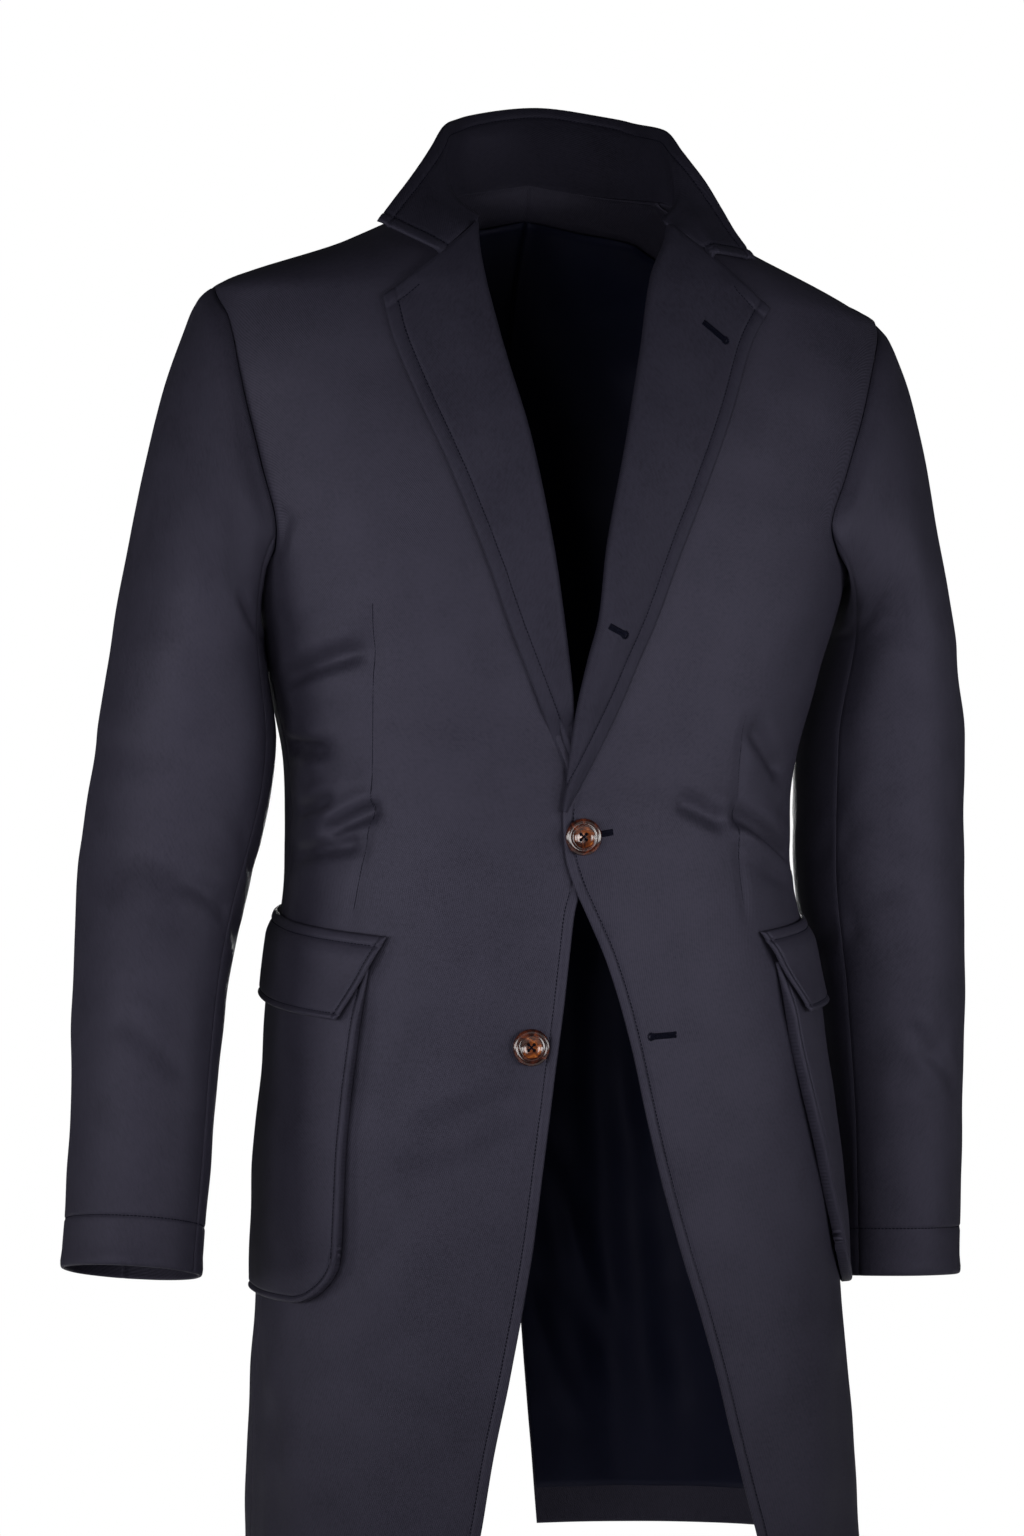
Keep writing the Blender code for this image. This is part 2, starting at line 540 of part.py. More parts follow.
def make_collar():
    last = len(COLLAR) - 1
    beyond = [(360 - row[0],) + row[1:3] + (-row[3],) + row[4:6] + (-row[6],) + row[7:] for row in COLLAR[:-1]]
    numbered = [(k,) + row for k, row in enumerate(COLLAR + tuple(reversed(beyond)))]
    at = np.linspace(-last, last, COLLAR_COLS)
    side = np.sign(at)
    station = last - np.abs(at)
    columns = [smooth(numbered, c, station) for c in range(1, 10)]
    turn = np.where(side < 0, -1, 1) * np.radians(columns[0])
    seam = off_body(turn, columns[1], columns[2])
    drop = np.where(side > 0, COLLAR_LEFT_DROP, 0) * np.clip(1 - station / 4, 0, 1)
    shift = np.where(side > 0, smooth(COLLAR_SHIFT, 2, station), smooth(COLLAR_SHIFT, 1, station))
    crease = np.stack((side * columns[3] + shift, columns[4], columns[5]), axis=-1)
    edge = np.stack((side * columns[6] + shift, columns[7], columns[8] - drop), axis=-1)
    grid = []
    for share in COLLAR_SHARES:
        low, high, t = (seam, crease, share * 2) if share <= 0.5 else (crease, edge, share * 2 - 1)
        grid.append(low + (high - low) * t)
    grid = np.array(grid)
    along = np.gradient(grid, axis=1)
    up = np.gradient(grid, axis=0)
    inside = unit(np.cross(along, up))
    if inside[0, COLLAR_COLS // 2, 1] > 0:
        inside = -inside
    on_front = ease(3 - station)[:, None]
    inside[0] = unit(on_front * body_normal(turn, columns[1]) + (1 - on_front) * inside[0])
    for _ in range(COLLAR_EVENING):
        inside[1:-1] = unit(inside[:-2] + inside[1:-1] + inside[2:])
        inside[:, 1:-1] = unit(inside[:, :-2] + inside[:, 1:-1] + inside[:, 2:])
    wall("collar", grid, grid + COLLAR_CLOTH * inside)


def pocket_front(side, z):
    table = POCKET_FRONT_RIGHT if side < 0 else POCKET_FRONT_LEFT
    return np.radians(np.abs(smooth(table, 1, z)))


def flap_top(phi):
    return FLAP_TOP_Z + FLAP_RISE * (np.degrees(phi) - FLAP_FRONT_DEG[0]) / 40.0


def make_pockets():
    back = math.radians(POCKET_BACK_DEG)
    for side, word in ((RIGHT, "right"), (LEFT, "left")):
        u, v = np.meshgrid(np.array((0, 0.05, 0.12, 0.2, 0.3, 0.4, 0.5, 0.6, 0.7, 0.8, 0.9, 1.0)), np.linspace(0, 1, 11))
        z = FLAP_TOP_Z - BAG_BELOW_FLAP_TOP + v * (POCKET_BOTTOM_Z - FLAP_TOP_Z + BAG_BELOW_FLAP_TOP)
        phi = pocket_front(side, z) + (back - pocket_front(side, z)) * u
        from_front = u * 0.16
        rounding = np.clip(1 - from_front / POCKET_CORNER, 0, 1)
        raised = POCKET_CORNER * (1 - np.sqrt(1 - rounding ** 2))
        z = z + raised * v
        phi = pocket_front(side, z) + (back - pocket_front(side, z)) * u
        lift = ON_TOP + POCKET_PUFF * ease((v - 0.3) / 0.35) * np.sin(math.pi * np.clip(u, 0, 1)) * np.sin(
            math.pi * np.clip(v, 0, 1)) ** 0.5
        phi = side * phi
        wall("pocket_" + word, off_body(phi, z, lift + CLOTH), off_body(phi, z, lift))
        u, v = np.meshgrid(np.linspace(0, 1, 12), np.array((0, 0.12, 0.3, 0.5, 0.75, 1.0)))
        front = np.radians(FLAP_FRONT_DEG[0] + (FLAP_FRONT_DEG[1] - FLAP_FRONT_DEG[0]) * v)
        phi = front + (back + 0.02 - front) * u
        z = flap_top(phi) - v * FLAP_DROP
        lift = ON_TOP + (CLOTH + 1.1 * ON_TOP) * ease(v / 0.3) + 0.0012 * v
        phi = side * phi
        wall("flap_" + word, off_body(phi, z, lift + CLOTH), off_body(phi, z, lift))


BUTTON_SEGMENTS = 32


def make_button(name, phi, z, lift):
    """Dished disc with four holes, lying on the front."""
    profile = ((0.0, 0.0), (0.7 * BUTTON_R, 0.0), (BUTTON_R, 0.0012), (BUTTON_R, 0.0026),
               (BUTTON_R - 0.4 * BUTTON_RIM, BUTTON_T), (BUTTON_R - BUTTON_RIM, BUTTON_T),
               (BUTTON_R - BUTTON_RIM - 0.0016, BUTTON_T - BUTTON_DISH), (0.0, BUTTON_T - BUTTON_DISH))
    points = [(0.0, 0.0, profile[0][1])]
    for r, h in profile[1:-1]:
        for k in range(BUTTON_SEGMENTS):
            a = 2 * math.pi * k / BUTTON_SEGMENTS
            points.append((r * math.cos(a), r * math.sin(a), h))
    points.append((0.0, 0.0, profile[-1][1]))
    faces = []
    for k in range(BUTTON_SEGMENTS):
        n = (k + 1) % BUTTON_SEGMENTS
        faces.append((0, 1 + n, 1 + k))
        for ring in range(len(profile) - 3):
            a = 1 + ring * BUTTON_SEGMENTS
            faces.append((a + k, a + n, a + BUTTON_SEGMENTS + n, a + BUTTON_SEGMENTS + k))
        a = 1 + (len(profile) - 3) * BUTTON_SEGMENTS
        faces.append((a + k, a + n, len(points) - 1))
    disc = solid(name, np.array(points), faces, HORN)
    for k in range(4):
        a = math.pi / 4 + k * math.pi / 2
        punch = make_punch(BUTTON_HOLE_AT * math.cos(a), BUTTON_HOLE_AT * math.sin(a))
        cut = disc.modifiers.new("hole%d" % k, "BOOLEAN")
        cut.operation = "DIFFERENCE"
        cut.solver = "EXACT"
        cut.object = punch
        bpy.context.view_layer.update()
        cut_mesh = bpy.data.meshes.new_from_object(disc.evaluated_get(bpy.context.evaluated_depsgraph_get()))
        disc.modifiers.clear()
        disc.data = cut_mesh
        bpy.data.objects.remove(punch)
    out = body_normal(np.array(phi), np.array(z))
    place = off_body(np.array(phi), np.array(z), np.array(lift))
    right = unit(np.cross(np.array((0.0, 0.0, 1.0)), out))
    up = np.cross(out, right)
    for vertex in disc.data.vertices:
        p = vertex.co
        vertex.co = place + right * p.x + up * p.y + out * p.z


def make_punch(x, y):
    ring = [(x + BUTTON_HOLE_R * math.cos(k * math.pi / 6), y + BUTTON_HOLE_R * math.sin(k * math.pi / 6))
            for k in range(12)]
    points = [(a, b, -0.002) for a, b in ring] + [(a, b, 0.008) for a, b in ring]
    faces = [tuple(range(11, -1, -1)), tuple(range(12, 24))]
    faces += [(k, (k + 1) % 12, 12 + (k + 1) % 12, 12 + k) for k in range(12)]
    return solid("punch", np.array(points), faces, HORN)


def main():
    for thing in list(bpy.data.objects):
        bpy.data.objects.remove(thing)
    make_body()
    make_sleeves()
    make_lapels()
    make_collar()
    make_pockets()
    make_button("button_top", math.radians(BUTTON_TOP[0]), BUTTON_TOP[1], OVERLAP_LIFT + 0.0005)
    make_button("button_lower", math.radians(BUTTON_LOWER[0]), BUTTON_LOWER[1], 0.0005)


main()
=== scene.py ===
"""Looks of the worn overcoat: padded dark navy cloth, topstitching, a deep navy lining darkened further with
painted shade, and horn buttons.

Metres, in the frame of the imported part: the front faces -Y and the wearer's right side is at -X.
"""
import math

import bpy
import numpy as np
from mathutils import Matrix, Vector
from mathutils.kdtree import KDTree


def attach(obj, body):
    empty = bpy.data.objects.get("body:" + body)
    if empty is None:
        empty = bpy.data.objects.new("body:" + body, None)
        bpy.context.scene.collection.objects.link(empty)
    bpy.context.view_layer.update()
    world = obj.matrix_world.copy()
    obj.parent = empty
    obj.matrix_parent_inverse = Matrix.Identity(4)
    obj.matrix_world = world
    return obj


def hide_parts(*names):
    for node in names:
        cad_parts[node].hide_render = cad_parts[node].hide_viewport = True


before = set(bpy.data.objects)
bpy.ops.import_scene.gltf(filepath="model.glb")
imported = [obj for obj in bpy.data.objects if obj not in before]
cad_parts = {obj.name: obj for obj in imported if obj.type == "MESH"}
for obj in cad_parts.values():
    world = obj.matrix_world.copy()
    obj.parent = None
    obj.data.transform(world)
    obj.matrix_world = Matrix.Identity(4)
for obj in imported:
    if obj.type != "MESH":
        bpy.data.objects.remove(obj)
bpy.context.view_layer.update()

# Main sizes of the coat
CLOTH = 0.0026
LINING = 0.0012
SEAM_GAP = 0.0004
HEM_Z = -0.906
ARMPIT_Z = -0.252
TIP_Z = -0.060
NECK_BACK_Z = 0.014
VENT_TOP_Z = -0.580
VENT_SPREAD_DEG = 9.0
LINING_ABOVE_HEM = 0.026
RIGHT = -1.0
LEFT = 1.0

# Body sections: height, half width, front depth, back depth, shift to the left
SQUARENESS = 2.4
SECTIONS = (
    (0.020, 0.0600, 0.050, 0.052, 0.0),
    (0.000, 0.0780, 0.062, 0.056, 0.0),
    (-0.030, 0.1365, 0.080, 0.079, 0.0),
    (-0.056, 0.2140, 0.090, 0.095, 0.0),
    (-0.064, 0.2255, 0.093, 0.099, 0.0),
    (-0.110, 0.2300, 0.105, 0.116, 0.0),
    (-0.180, 0.2190, 0.116, 0.127, 0.0),
    (-0.250, 0.2030, 0.120, 0.126, 0.0),
    (-0.320, 0.1842, 0.119, 0.118, -0.0018),
    (-0.400, 0.1685, 0.117, 0.110, -0.0054),
    (-0.440, 0.1690, 0.117, 0.111, -0.0058),
    (-0.500, 0.1775, 0.119, 0.117, -0.0034),
    (-0.600, 0.1880, 0.121, 0.124, -0.0005),
    (-0.728, 0.1965, 0.124, 0.130, 0.0020),
    (-0.800, 0.2025, 0.126, 0.133, 0.0035),
    (-0.906, 0.2070, 0.128, 0.136, 0.0055),
)
# The left shoulder is carried lower: distance out where that starts, its run, the drop and how it grows
LOW_SHOULDER_START = 0.092
LOW_SHOULDER_RUN = 0.110
LOW_SHOULDER_DROP = 0.0165
LOW_SHOULDER_POWER = 1.15
LOW_SHOULDER_FADE = 0.150

# Inner edge of each front: height, angle from the centre front in degrees
EDGE_RIGHT = (
    (-0.906, -35.5), (-0.867, -32.5), (-0.822, -29.5), (-0.770, -25.0), (-0.692, -18.5),
    (-0.628, -14.3), (-0.568, -10.1), (-0.532, -7.2), (-0.496, -4.7), (-0.470, -2.5),
    (-0.440, 2.0), (-0.410, 2.0), (-0.380, -1.5), (-0.360, -5.5), (-0.340, -10.0), (-0.274, -14.5),
    (-0.232, -17.5), (-0.163, -24.0), (-0.114, -31.5), (-0.065, -40.0), (-0.024, -52.0),
    (-0.010, -68.0), (0.000, -88.0),
)
EDGE_LEFT = (
    (-0.906, 45.5), (-0.875, 43.2), (-0.813, 38.1), (-0.752, 33.2), (-0.695, 26.9),
    (-0.630, 19.8), (-0.566, 14.1), (-0.529, 10.2), (-0.500, 6.2), (-0.470, 0.6),
    (-0.453, -2.6), (-0.431, -5.5), (-0.404, -6.4), (-0.385, -2.5), (-0.360, 0.5),
    (-0.340, 2.5), (-0.300, 5.5), (-0.239, 9.5), (-0.177, 15.5), (-0.110, 24.0),
    (-0.059, 35.0), (-0.024, 50.0), (-0.010, 68.0), (0.000, 88.0),
)

# Armhole: share of the way from the armpit to the shoulder, height, angle on the right front, on the left
# front and on the backs
ARMHOLE = (
    (0.00, -0.252, 90.0, 90.0, 90.0),
    (0.08, -0.247, 82.0, 78.0, 100.0),
    (0.16, -0.236, 75.0, 69.5, 108.0),
    (0.28, -0.215, 73.5, 66.0, 112.0),
    (0.45, -0.180, 75.0, 68.8, 112.0),
    (0.62, -0.145, 76.5, 71.5, 110.0),
    (0.78, -0.110, 78.5, 75.0, 106.0),
    (0.90, -0.083, 81.5, 80.0, 100.0),
    (1.00, -0.060, 90.0, 90.0, 90.0),
)
ARMHOLE_REACH = 2.0
ARMHOLE_MIDDLE_Y = 0.004
BACK_NECK_SHARE = 0.4

# Folds of the body: angle and height of both ends, half width, depth
FOLDS = (
    (-79.0, -0.316, -57.0, -0.299, 0.011, 0.0040),
    (-88.0, -0.364, -68.0, -0.366, 0.010, 0.0042),
    (-88.0, -0.409, -70.0, -0.398, 0.009, 0.0034),
    (-71.0, -0.420, -56.0, -0.403, 0.008, 0.0040),
    (-88.0, -0.438, -60.0, -0.426, 0.009, 0.0038),
    (51.0, -0.349, 66.0, -0.384, 0.010, 0.0040),
    (29.5, -0.396, 46.0, -0.414, 0.011, 0.0030),
    (48.5, -0.405, 76.0, -0.440, 0.009, 0.0056),
    (-20.0, -0.607, -50.0, -0.648, 0.018, 0.0032),
)
FOLD_RADIUS = 0.150
FOLD_FADE = 0.024
# Metres around the body for one degree
BODY_ARC = math.radians(FOLD_RADIUS)

# Sleeves: height, distance out, Y, half width, half depth
SLEEVE_RIGHT = (
    (-0.300, 0.2402, 0.012, 0.0500, 0.0764),
    (-0.360, 0.2408, 0.014, 0.0585, 0.0724),
    (-0.440, 0.2550, 0.011, 0.0557, 0.0684),
    (-0.530, 0.2702, -0.010, 0.0494, 0.0624),
    (-0.630, 0.2800, -0.032, 0.0462, 0.0554),
    (-0.703, 0.2878, -0.0455, 0.0452, 0.0514),
)
SLEEVE_LEFT = (
    (-0.300, 0.2440, 0.030, 0.0469, 0.0764),
    (-0.360, 0.2430, 0.034, 0.0564, 0.0724),
    (-0.440, 0.2435, 0.036, 0.0574, 0.0684),
    (-0.530, 0.2490, 0.036, 0.0524, 0.0624),
    (-0.630, 0.2520, 0.033, 0.0474, 0.0554),
    (-0.726, 0.2510, 0.026, 0.0452, 0.0514),
)
FOREARM_SEAM_SHARE = 0.22
HIND_SEAM_SHARE = 0.48
HEAD_PULL = 0.090
ARM_PULL = 0.120
PULL_SHARE = 0.75
# How a sleeve leaves the armhole
LEAVE_OUT = 0.75
LEAVE_WIDER = 0.35
LEAVE_DOWN = 0.6

# Lapels, from the gorge down: angle and height on the roll line, angle and height on the outer edge
LAPEL_RIGHT = (
    (-41.5, -0.024, -57.0, -0.072),
    (-34.2, -0.065, -53.7, -0.098),
    (-26.2, -0.114, -47.5, -0.137),
    (-18.7, -0.163, -40.3, -0.179),
    (-11.9, -0.232, -30.5, -0.242),
    (-8.8, -0.274, -24.9, -0.281),
    (-4.6, -0.330, -15.5, -0.333),
    (-3.2, -0.353, -9.6, -0.362),
    (-1.5, -0.385, -3.5, -0.394),
)
LAPEL_LEFT = (
    (41.5, -0.024, 57.0, -0.072),
    (27.2, -0.059, 50.5, -0.099),
    (18.5, -0.110, 43.5, -0.143),
    (10.1, -0.177, 34.5, -0.197),
    (3.9, -0.239, 26.5, -0.243),
    (2.0, -0.279, 20.5, -0.281),
    (-0.9, -0.305, 15.8, -0.306),
    (-3.9, -0.338, 9.9, -0.338),
    (-5.2, -0.368, 3.5, -0.369),
    (-6.0, -0.392, -2.5, -0.394),
    (-6.5, -0.404, -5.4, -0.405),
)
# Share of the lapel's width, stand-off of its under face from the front
LAPEL_ROLL = (
    (0.00, 0.0050), (0.14, 0.0052), (0.32, 0.0054), (0.58, 0.0036), (0.82, 0.0016), (1.00, 0.0007),
)
LAPEL_NOSE = 0.0050
LAPEL_NOSE_SHARE = 0.42
LAPEL_TAPER = 0.035
LAPEL_NOTCH_SHARE = 0.52
LAPEL_SINK_Z = -0.335
LAPEL_SINK_RUN = 0.025
LAPEL_SINK = 0.0004
OVERLAP_LIFT = CLOTH + 0.0005
OVERLAP_END_DEG = (9.0, 28.0)

# Collar, from the notch to the centre back: seam (angle, height, stand-off), crease and free edge (x, y, z)
COLLAR_CLOTH = 0.0030
COLLAR_LEFT_DROP = 0.021
COLLAR = (
    (49.0, -0.0464, 0.0042, 0.0965, -0.0885, -0.0415, 0.1290, -0.0640, -0.0230),
    (45.4, -0.0344, 0.0050, 0.0880, -0.0660, -0.0190, 0.1170, -0.0520, -0.0090),
    (42.6, -0.0218, 0.0010, 0.0845, -0.0520, -0.0080, 0.1095, -0.0435, 0.0005),
    (53.0, -0.0155, 0.0000, 0.0815, -0.0380, 0.0060, 0.1020, -0.0350, 0.0110),
    (74.0, -0.0080, -0.0004, 0.0800, -0.0180, 0.0260, 0.0890, -0.0180, 0.0290),
    (90.0, -0.0024, -0.0006, 0.0750, 0.0080, 0.0400, 0.0770, 0.0080, 0.0480),
    (135.0, 0.0040, -0.0006, 0.0560, 0.0480, 0.0450, 0.0590, 0.0540, 0.0570),
    (180.0, 0.0108, -0.0006, 0.0000, 0.0660, 0.0500, 0.0000, 0.0750, 0.0670),
)
# Shift of the collar to the left, by its row: of the right half, of the left half
COLLAR_SHIFT = (
    (0.0, 0.0000, -0.0040), (2.0, 0.0020, -0.0010), (4.0, 0.0050, 0.0020), (5.0, 0.0080, 0.0080),
    (6.0, 0.0120, 0.0120), (7.0, 0.0130, 0.0130),
)
COLLAR_BEND = 0.16

# Pockets: height and angle of the front edge, then the common sizes
POCKET_FRONT_RIGHT = ((-0.728, -64.0), (-0.684, -61.9), (-0.629, -61.5), (-0.557, -59.4), (-0.485, -56.0))
POCKET_FRONT_LEFT = ((-0.728, 75.0), (-0.690, 71.0), (-0.647, 66.8), (-0.580, 61.0), (-0.485, 56.0))
POCKET_BACK_DEG = 110.0
POCKET_BOTTOM_Z = -0.724
POCKET_CORNER = 0.030
POCKET_PUFF = 0.0035
POCKET_STAND = 0.0055
POCKET_STAND_RUN = 0.040
POCKET_STAND_SHARE = 0.6
POCKET_WALL = 0.002
FLAP_TOP_Z = -0.485
FLAP_RISE = 0.011
FLAP_RISE_DEG = 40.0
FLAP_DROP = 0.057
FLAP_FLARE = 0.0012
FLAP_CLIMB = 0.3
FLAP_PAST_BAG = 0.02
FLAP_FRONT_DEG = (53.0, 62.5)
BAG_BELOW_FLAP_TOP = 0.020
ON_TOP = 0.0010

# Buttons
BUTTON_R = 0.0120
BUTTON_T = 0.0042
BUTTON_MIDDLE = 0.0066
BUTTON_DISH = 0.0018
# Face of a button, from its edge in: share of the radius, share of the dish
BUTTON_FACE = (
    (0.86, 0.03), (0.80, 0.22), (0.74, 0.30), (0.68, 0.24), (0.64, 0.14), (0.61, 0.16),
    (0.57, 0.36), (0.48, 0.66), (0.38, 0.86), (0.26, 0.97), (0.0, 1.0),
)
BUTTON_HOLE_AT = 0.0026
BUTTON_HOLE_R = 0.0011
BUTTON_SIDES = 72
BUTTON_SHARP_DEG = 35.0
# Lower face and rounded rim of a button: how far in and how high they start, size and turn of the rim
BUTTON_FOOT = ((0.0, 0.0), (0.7 * BUTTON_R, 0.0), (BUTTON_R - 0.0008, 0.0006))
BUTTON_RIM_R = 0.0013
BUTTON_RIM_Z = 0.0023
BUTTON_RIM_HALF = 0.0017
BUTTON_RIM_DEG = (-60, 80, 9)
PUNCH_SIDES = 20
PUNCH_Z = (-0.002, 0.008)
BUTTON_SHANK = 0.0008
BUTTON_THREAD = (2 * BUTTON_HOLE_AT + 0.0008, 0.0006, 0.0004)
BUTTON_THREAD_APART = 0.0003
BUTTON_TOP = (0.0, -0.4205)
BUTTON_LOWER = (-17.8, -0.5560)

# Relief of sewn cloth: free edges, welt and groove of a topstitch, dip of a seam
EDGE_ROUND = 0.0017
WELT = 0.0006
GROOVE = 0.0008
GROOVE_HALF = 0.0010
SEAM_DIP = 0.0006
SEAM_HALF = 0.0016
SEAM_CALM = 0.012
WELT_REACH = 0.010
EDGE_LEAST = 0.05
BORDER_STEP = 0.0005
HEAD_FULLNESS = 0.0008
HEAD_FULL_AT = 0.013
HEAD_FULL_HALF = 0.010

# Depth of each topstitch inside its edge, and the size of one stitch
LAPEL_STITCH = 0.0092
COLLAR_STITCH = 0.0085
FRONT_STITCH = 0.0070
POCKET_STITCH = 0.0043
FLAP_BAND_STITCH = 0.0070
CUFF_STITCH = 0.0320
CUFF_FACING = 0.036
STITCH_PITCH = 0.0025
STITCH_LENGTH = 0.0018
STITCH_WIDTH = 0.0007
STITCH_HEIGHT = 0.00028
STITCH_RISE = 0.00005
STITCH_AHEAD = 0.0008
STITCH_FROM_EDGE = 0.02
# A bar of thread: share of the length, share of the girth
BAR = ((-0.5, 0.42), (-0.3, 0.95), (0.3, 0.95), (0.5, 0.42))
BAR_SIDES = 6
# Bars of a buttonhole: length, width, height, and distances of their middles from the slit and the eye
HOLE_SIDE_BAR = (0.0020, 0.0009, 0.0005)
HOLE_EYE_BAR = (0.0018, 0.0009, 0.0005)
HOLE_SLIT_BAR = (0.0026, 0.0009, 0.0003)
HOLE_BARS = 24
HOLE_EYE_BARS = 14
HOLE_SIDE_OUT = 0.0011
HOLE_EYE_OUT = 0.0021
HOLE_RISE = 0.0001
HOLE_FROM_BODY = 0.006

# Grids: about how long each run is, and its step
RUNS = {
    "yoke": (0.215, 0.0034), "front": (0.26, 0.0032), "back": (0.28, 0.0040), "head": (0.24, 0.0036),
    "arm": (0.41, 0.0036), "top": (0.27, 0.0036), "under": (0.12, 0.0036), "lapel_down": (0.40, 0.0030),
    "lapel_across": (0.070, 0.0026), "collar_round": (0.56, 0.0030), "collar_up": (0.075, 0.0022),
    "pocket_across": (0.16, 0.0028), "pocket_down": (0.22, 0.0028), "flap_across": (0.165, 0.0028),
    "flap_down": (0.058, 0.0024),
}
SKIRT_STEP = 0.0035

# Fronts: width of the facing, and how high the welt and the stitches of the front edge go
FACING_WIDTH = 0.085
WELT_TOP_Z = {"right": -0.350, "left": -0.395}
STITCH_TOP_Z = {"right": -0.452, "left": -0.402}

# Spacing of a grid at a free edge, at a seam and at a cuff
FREE = (0.0, 0.0004, 0.001, 0.0018, 0.0028, 0.0036, 0.0043, 0.005, 0.0058, 0.0065, 0.0072, 0.008, 0.0088,
        0.0096, 0.0105, 0.012, 0.014)
SEWN = (0.0, 0.0007, 0.0015, 0.0025, 0.004, 0.006)
CUFF = (0.0, 0.0004, 0.001, 0.0018, 0.0028, 0.005, 0.008, 0.012, 0.016, 0.020, 0.024, 0.028, 0.0298, 0.0308,
        0.0316, 0.0324, 0.0332, 0.0342, 0.036)
PLAIN = (0.0,)

# Fine creases of the body: angle and height of both ends, half width, depth (a ridge has a negative depth)
CREASES = (
    (-76.0, -0.238, -71.5, -0.210, 0.0060, 0.0030),
    (-82.0, -0.321, -60.0, -0.301, 0.0050, 0.0030),
    (-86.0, -0.362, -71.0, -0.365, 0.0046, 0.0030),
    (-84.0, -0.405, -70.0, -0.397, 0.0042, 0.0028),
    (-71.0, -0.419, -57.0, -0.402, 0.0040, 0.0036),
    (-84.0, -0.434, -62.0, -0.425, 0.0044, 0.0030),
    (-80.0, -0.386, -66.0, -0.380, 0.0050, 0.0014),
    (52.0, -0.351, 64.0, -0.380, 0.0050, 0.0028),
    (32.0, -0.398, 45.0, -0.412, 0.0054, 0.0026),
    (50.0, -0.408, 75.0, -0.439, 0.0046, 0.0040),
    (60.0, -0.398, 74.0, -0.412, 0.0046, 0.0012),
    (58.0, -0.446, 74.0, -0.452, 0.0050, 0.0010),
    (-23.0, -0.586, -46.0, -0.611, 0.0090, 0.0018),
    (-80.0, -0.305, -60.0, -0.288, 0.0070, -0.0016),
    (-88.0, -0.352, -66.0, -0.353, 0.0070, -0.0016),
    (-72.0, -0.409, -57.0, -0.392, 0.0060, -0.0018),
    (50.0, -0.417, 76.0, -0.452, 0.0070, -0.0022),
    (-80.0, -0.790, -76.0, -0.900, 0.0090, 0.0016),
    (-86.0, -0.760, -84.0, -0.900, 0.0080, 0.0014),
    (70.0, -0.770, 66.0, -0.900, 0.0110, 0.0014),
    (120.0, -0.300, 150.0, -0.330, 0.0100, 0.0016),
    (-118.0, -0.310, -152.0, -0.345, 0.0100, 0.0016),
    (110.0, -0.395, 150.0, -0.405, 0.0090, 0.0018),
    (-108.0, -0.405, -148.0, -0.418, 0.0090, 0.0018),
    (125.0, -0.440, 165.0, -0.430, 0.0100, 0.0014),
    (-122.0, -0.446, -166.0, -0.438, 0.0100, 0.0014),
    (140.0, -0.680, 136.0, -0.890, 0.0140, 0.0016),
    (-138.0, -0.690, -134.0, -0.890, 0.0140, 0.0016),
)
# Front darts: angle and height down each one
DART_RIGHT = ((-55.5, -0.270), (-57.2, -0.366), (-58.1, -0.403), (-61.6, -0.467))
DART_LEFT = ((48.6, -0.3425), (49.0, -0.388), (49.4, -0.407), (50.0, -0.466))
DART_HALF = 0.0040
DART_DEPTH = 0.0010
DART_POINTS = 60
DART_LOW_FADE = 0.02
DART_TOP_FADE = 0.03
DART_ABOVE = 0.01
# Seam of a dart: pitch, length, width and height of its bars
DART_SEAM = (0.0021, 0.0024, 0.0005, 0.00012)
# Creases of a sleeve: turn in degrees and way down it of both ends, half width, depth
# The way down is 0 at the head, 1 where the arm starts and 2 at the cuff
SLEEVE_CREASES = (
    (115.0, 0.62, 150.0, 0.86, 0.0080, 0.0020),
    (100.0, 1.22, 160.0, 1.34, 0.0090, 0.0016),
    (95.0, 1.40, 165.0, 1.46, 0.0080, 0.0018),
    (60.0, 1.62, 110.0, 1.70, 0.0080, 0.0012),
    (205.0, 1.30, 250.0, 1.24, 0.0090, 0.0018),
    (210.0, 1.44, 262.0, 1.40, 0.0080, 0.0018),
    (215.0, 1.60, 250.0, 1.64, 0.0080, 0.0014),
    (300.0, 1.36, 340.0, 1.30, 0.0120, 0.0012),
)
SLEEVE_CREASE_LEFT = (48.0, 1.70, 96.0, 1.60, 0.0065, 0.0018)
SLEEVE_RADIUS = 0.060
SLEEVE_ARC = math.radians(SLEEVE_RADIUS)
HEAD_RUN = 0.200
ARM_RUN = 0.410
# A crease fades at its ends, and has a raised lip: share of its depth, where, half width
CREASE_FADE = 0.012
CREASE_LIP = 0.35
LINING_LIP = 0.3
LIP_AT = 1.9
LIP_HALF = 0.9
# Creases of the back lining, as for the body
LINING_CREASES = (
    (172.0, -0.300, 169.0, -0.860, 0.0120, 0.0030),
    (158.0, -0.420, 160.0, -0.870, 0.0140, 0.0032),
    (146.0, -0.520, 140.0, -0.870, 0.0130, 0.0030),
    (166.0, -0.640, 150.0, -0.760, 0.0080, 0.0016),
    (176.0, -0.720, 160.0, -0.820, 0.0070, 0.0014),
)
# Grid of the lining, how much of it is kept, the turn of its centre edge and its depth
LINING_LOW_ROWS = 130
LINING_HIGH_ROWS = 50
LINING_COLUMNS = 58
LINING_KEPT_ROWS = LINING_LOW_ROWS - 1 + 46
LINING_KEPT_COLUMNS = 53
LINING_EDGE_TURN = 0.02 * 0.2
LINING_RELIEF = -0.0010 - 0.0008
# Low waves of the padded cloth: turns a metre across and up, height
WAVES = (
    (9.0, 4.0, 0.00030), (-5.0, 11.0, 0.00028), (17.0, -7.0, 0.00016), (6.0, 21.0, 0.00014),
    (-23.0, 13.0, 0.00010),
)

# Buttonholes: piece, angle and height of the eye end, angle and height of the other end
BUTTONHOLES = (
    ("lapel_left", 44.2, -0.0990, 39.5, -0.0882),
    ("lapel_left", 9.3, -0.2897, 5.0, -0.2846),
    ("front_left", 3.4, -0.4197, 9.8, -0.4177),
    ("front_left", 19.4, -0.5505, 27.2, -0.5496),
)

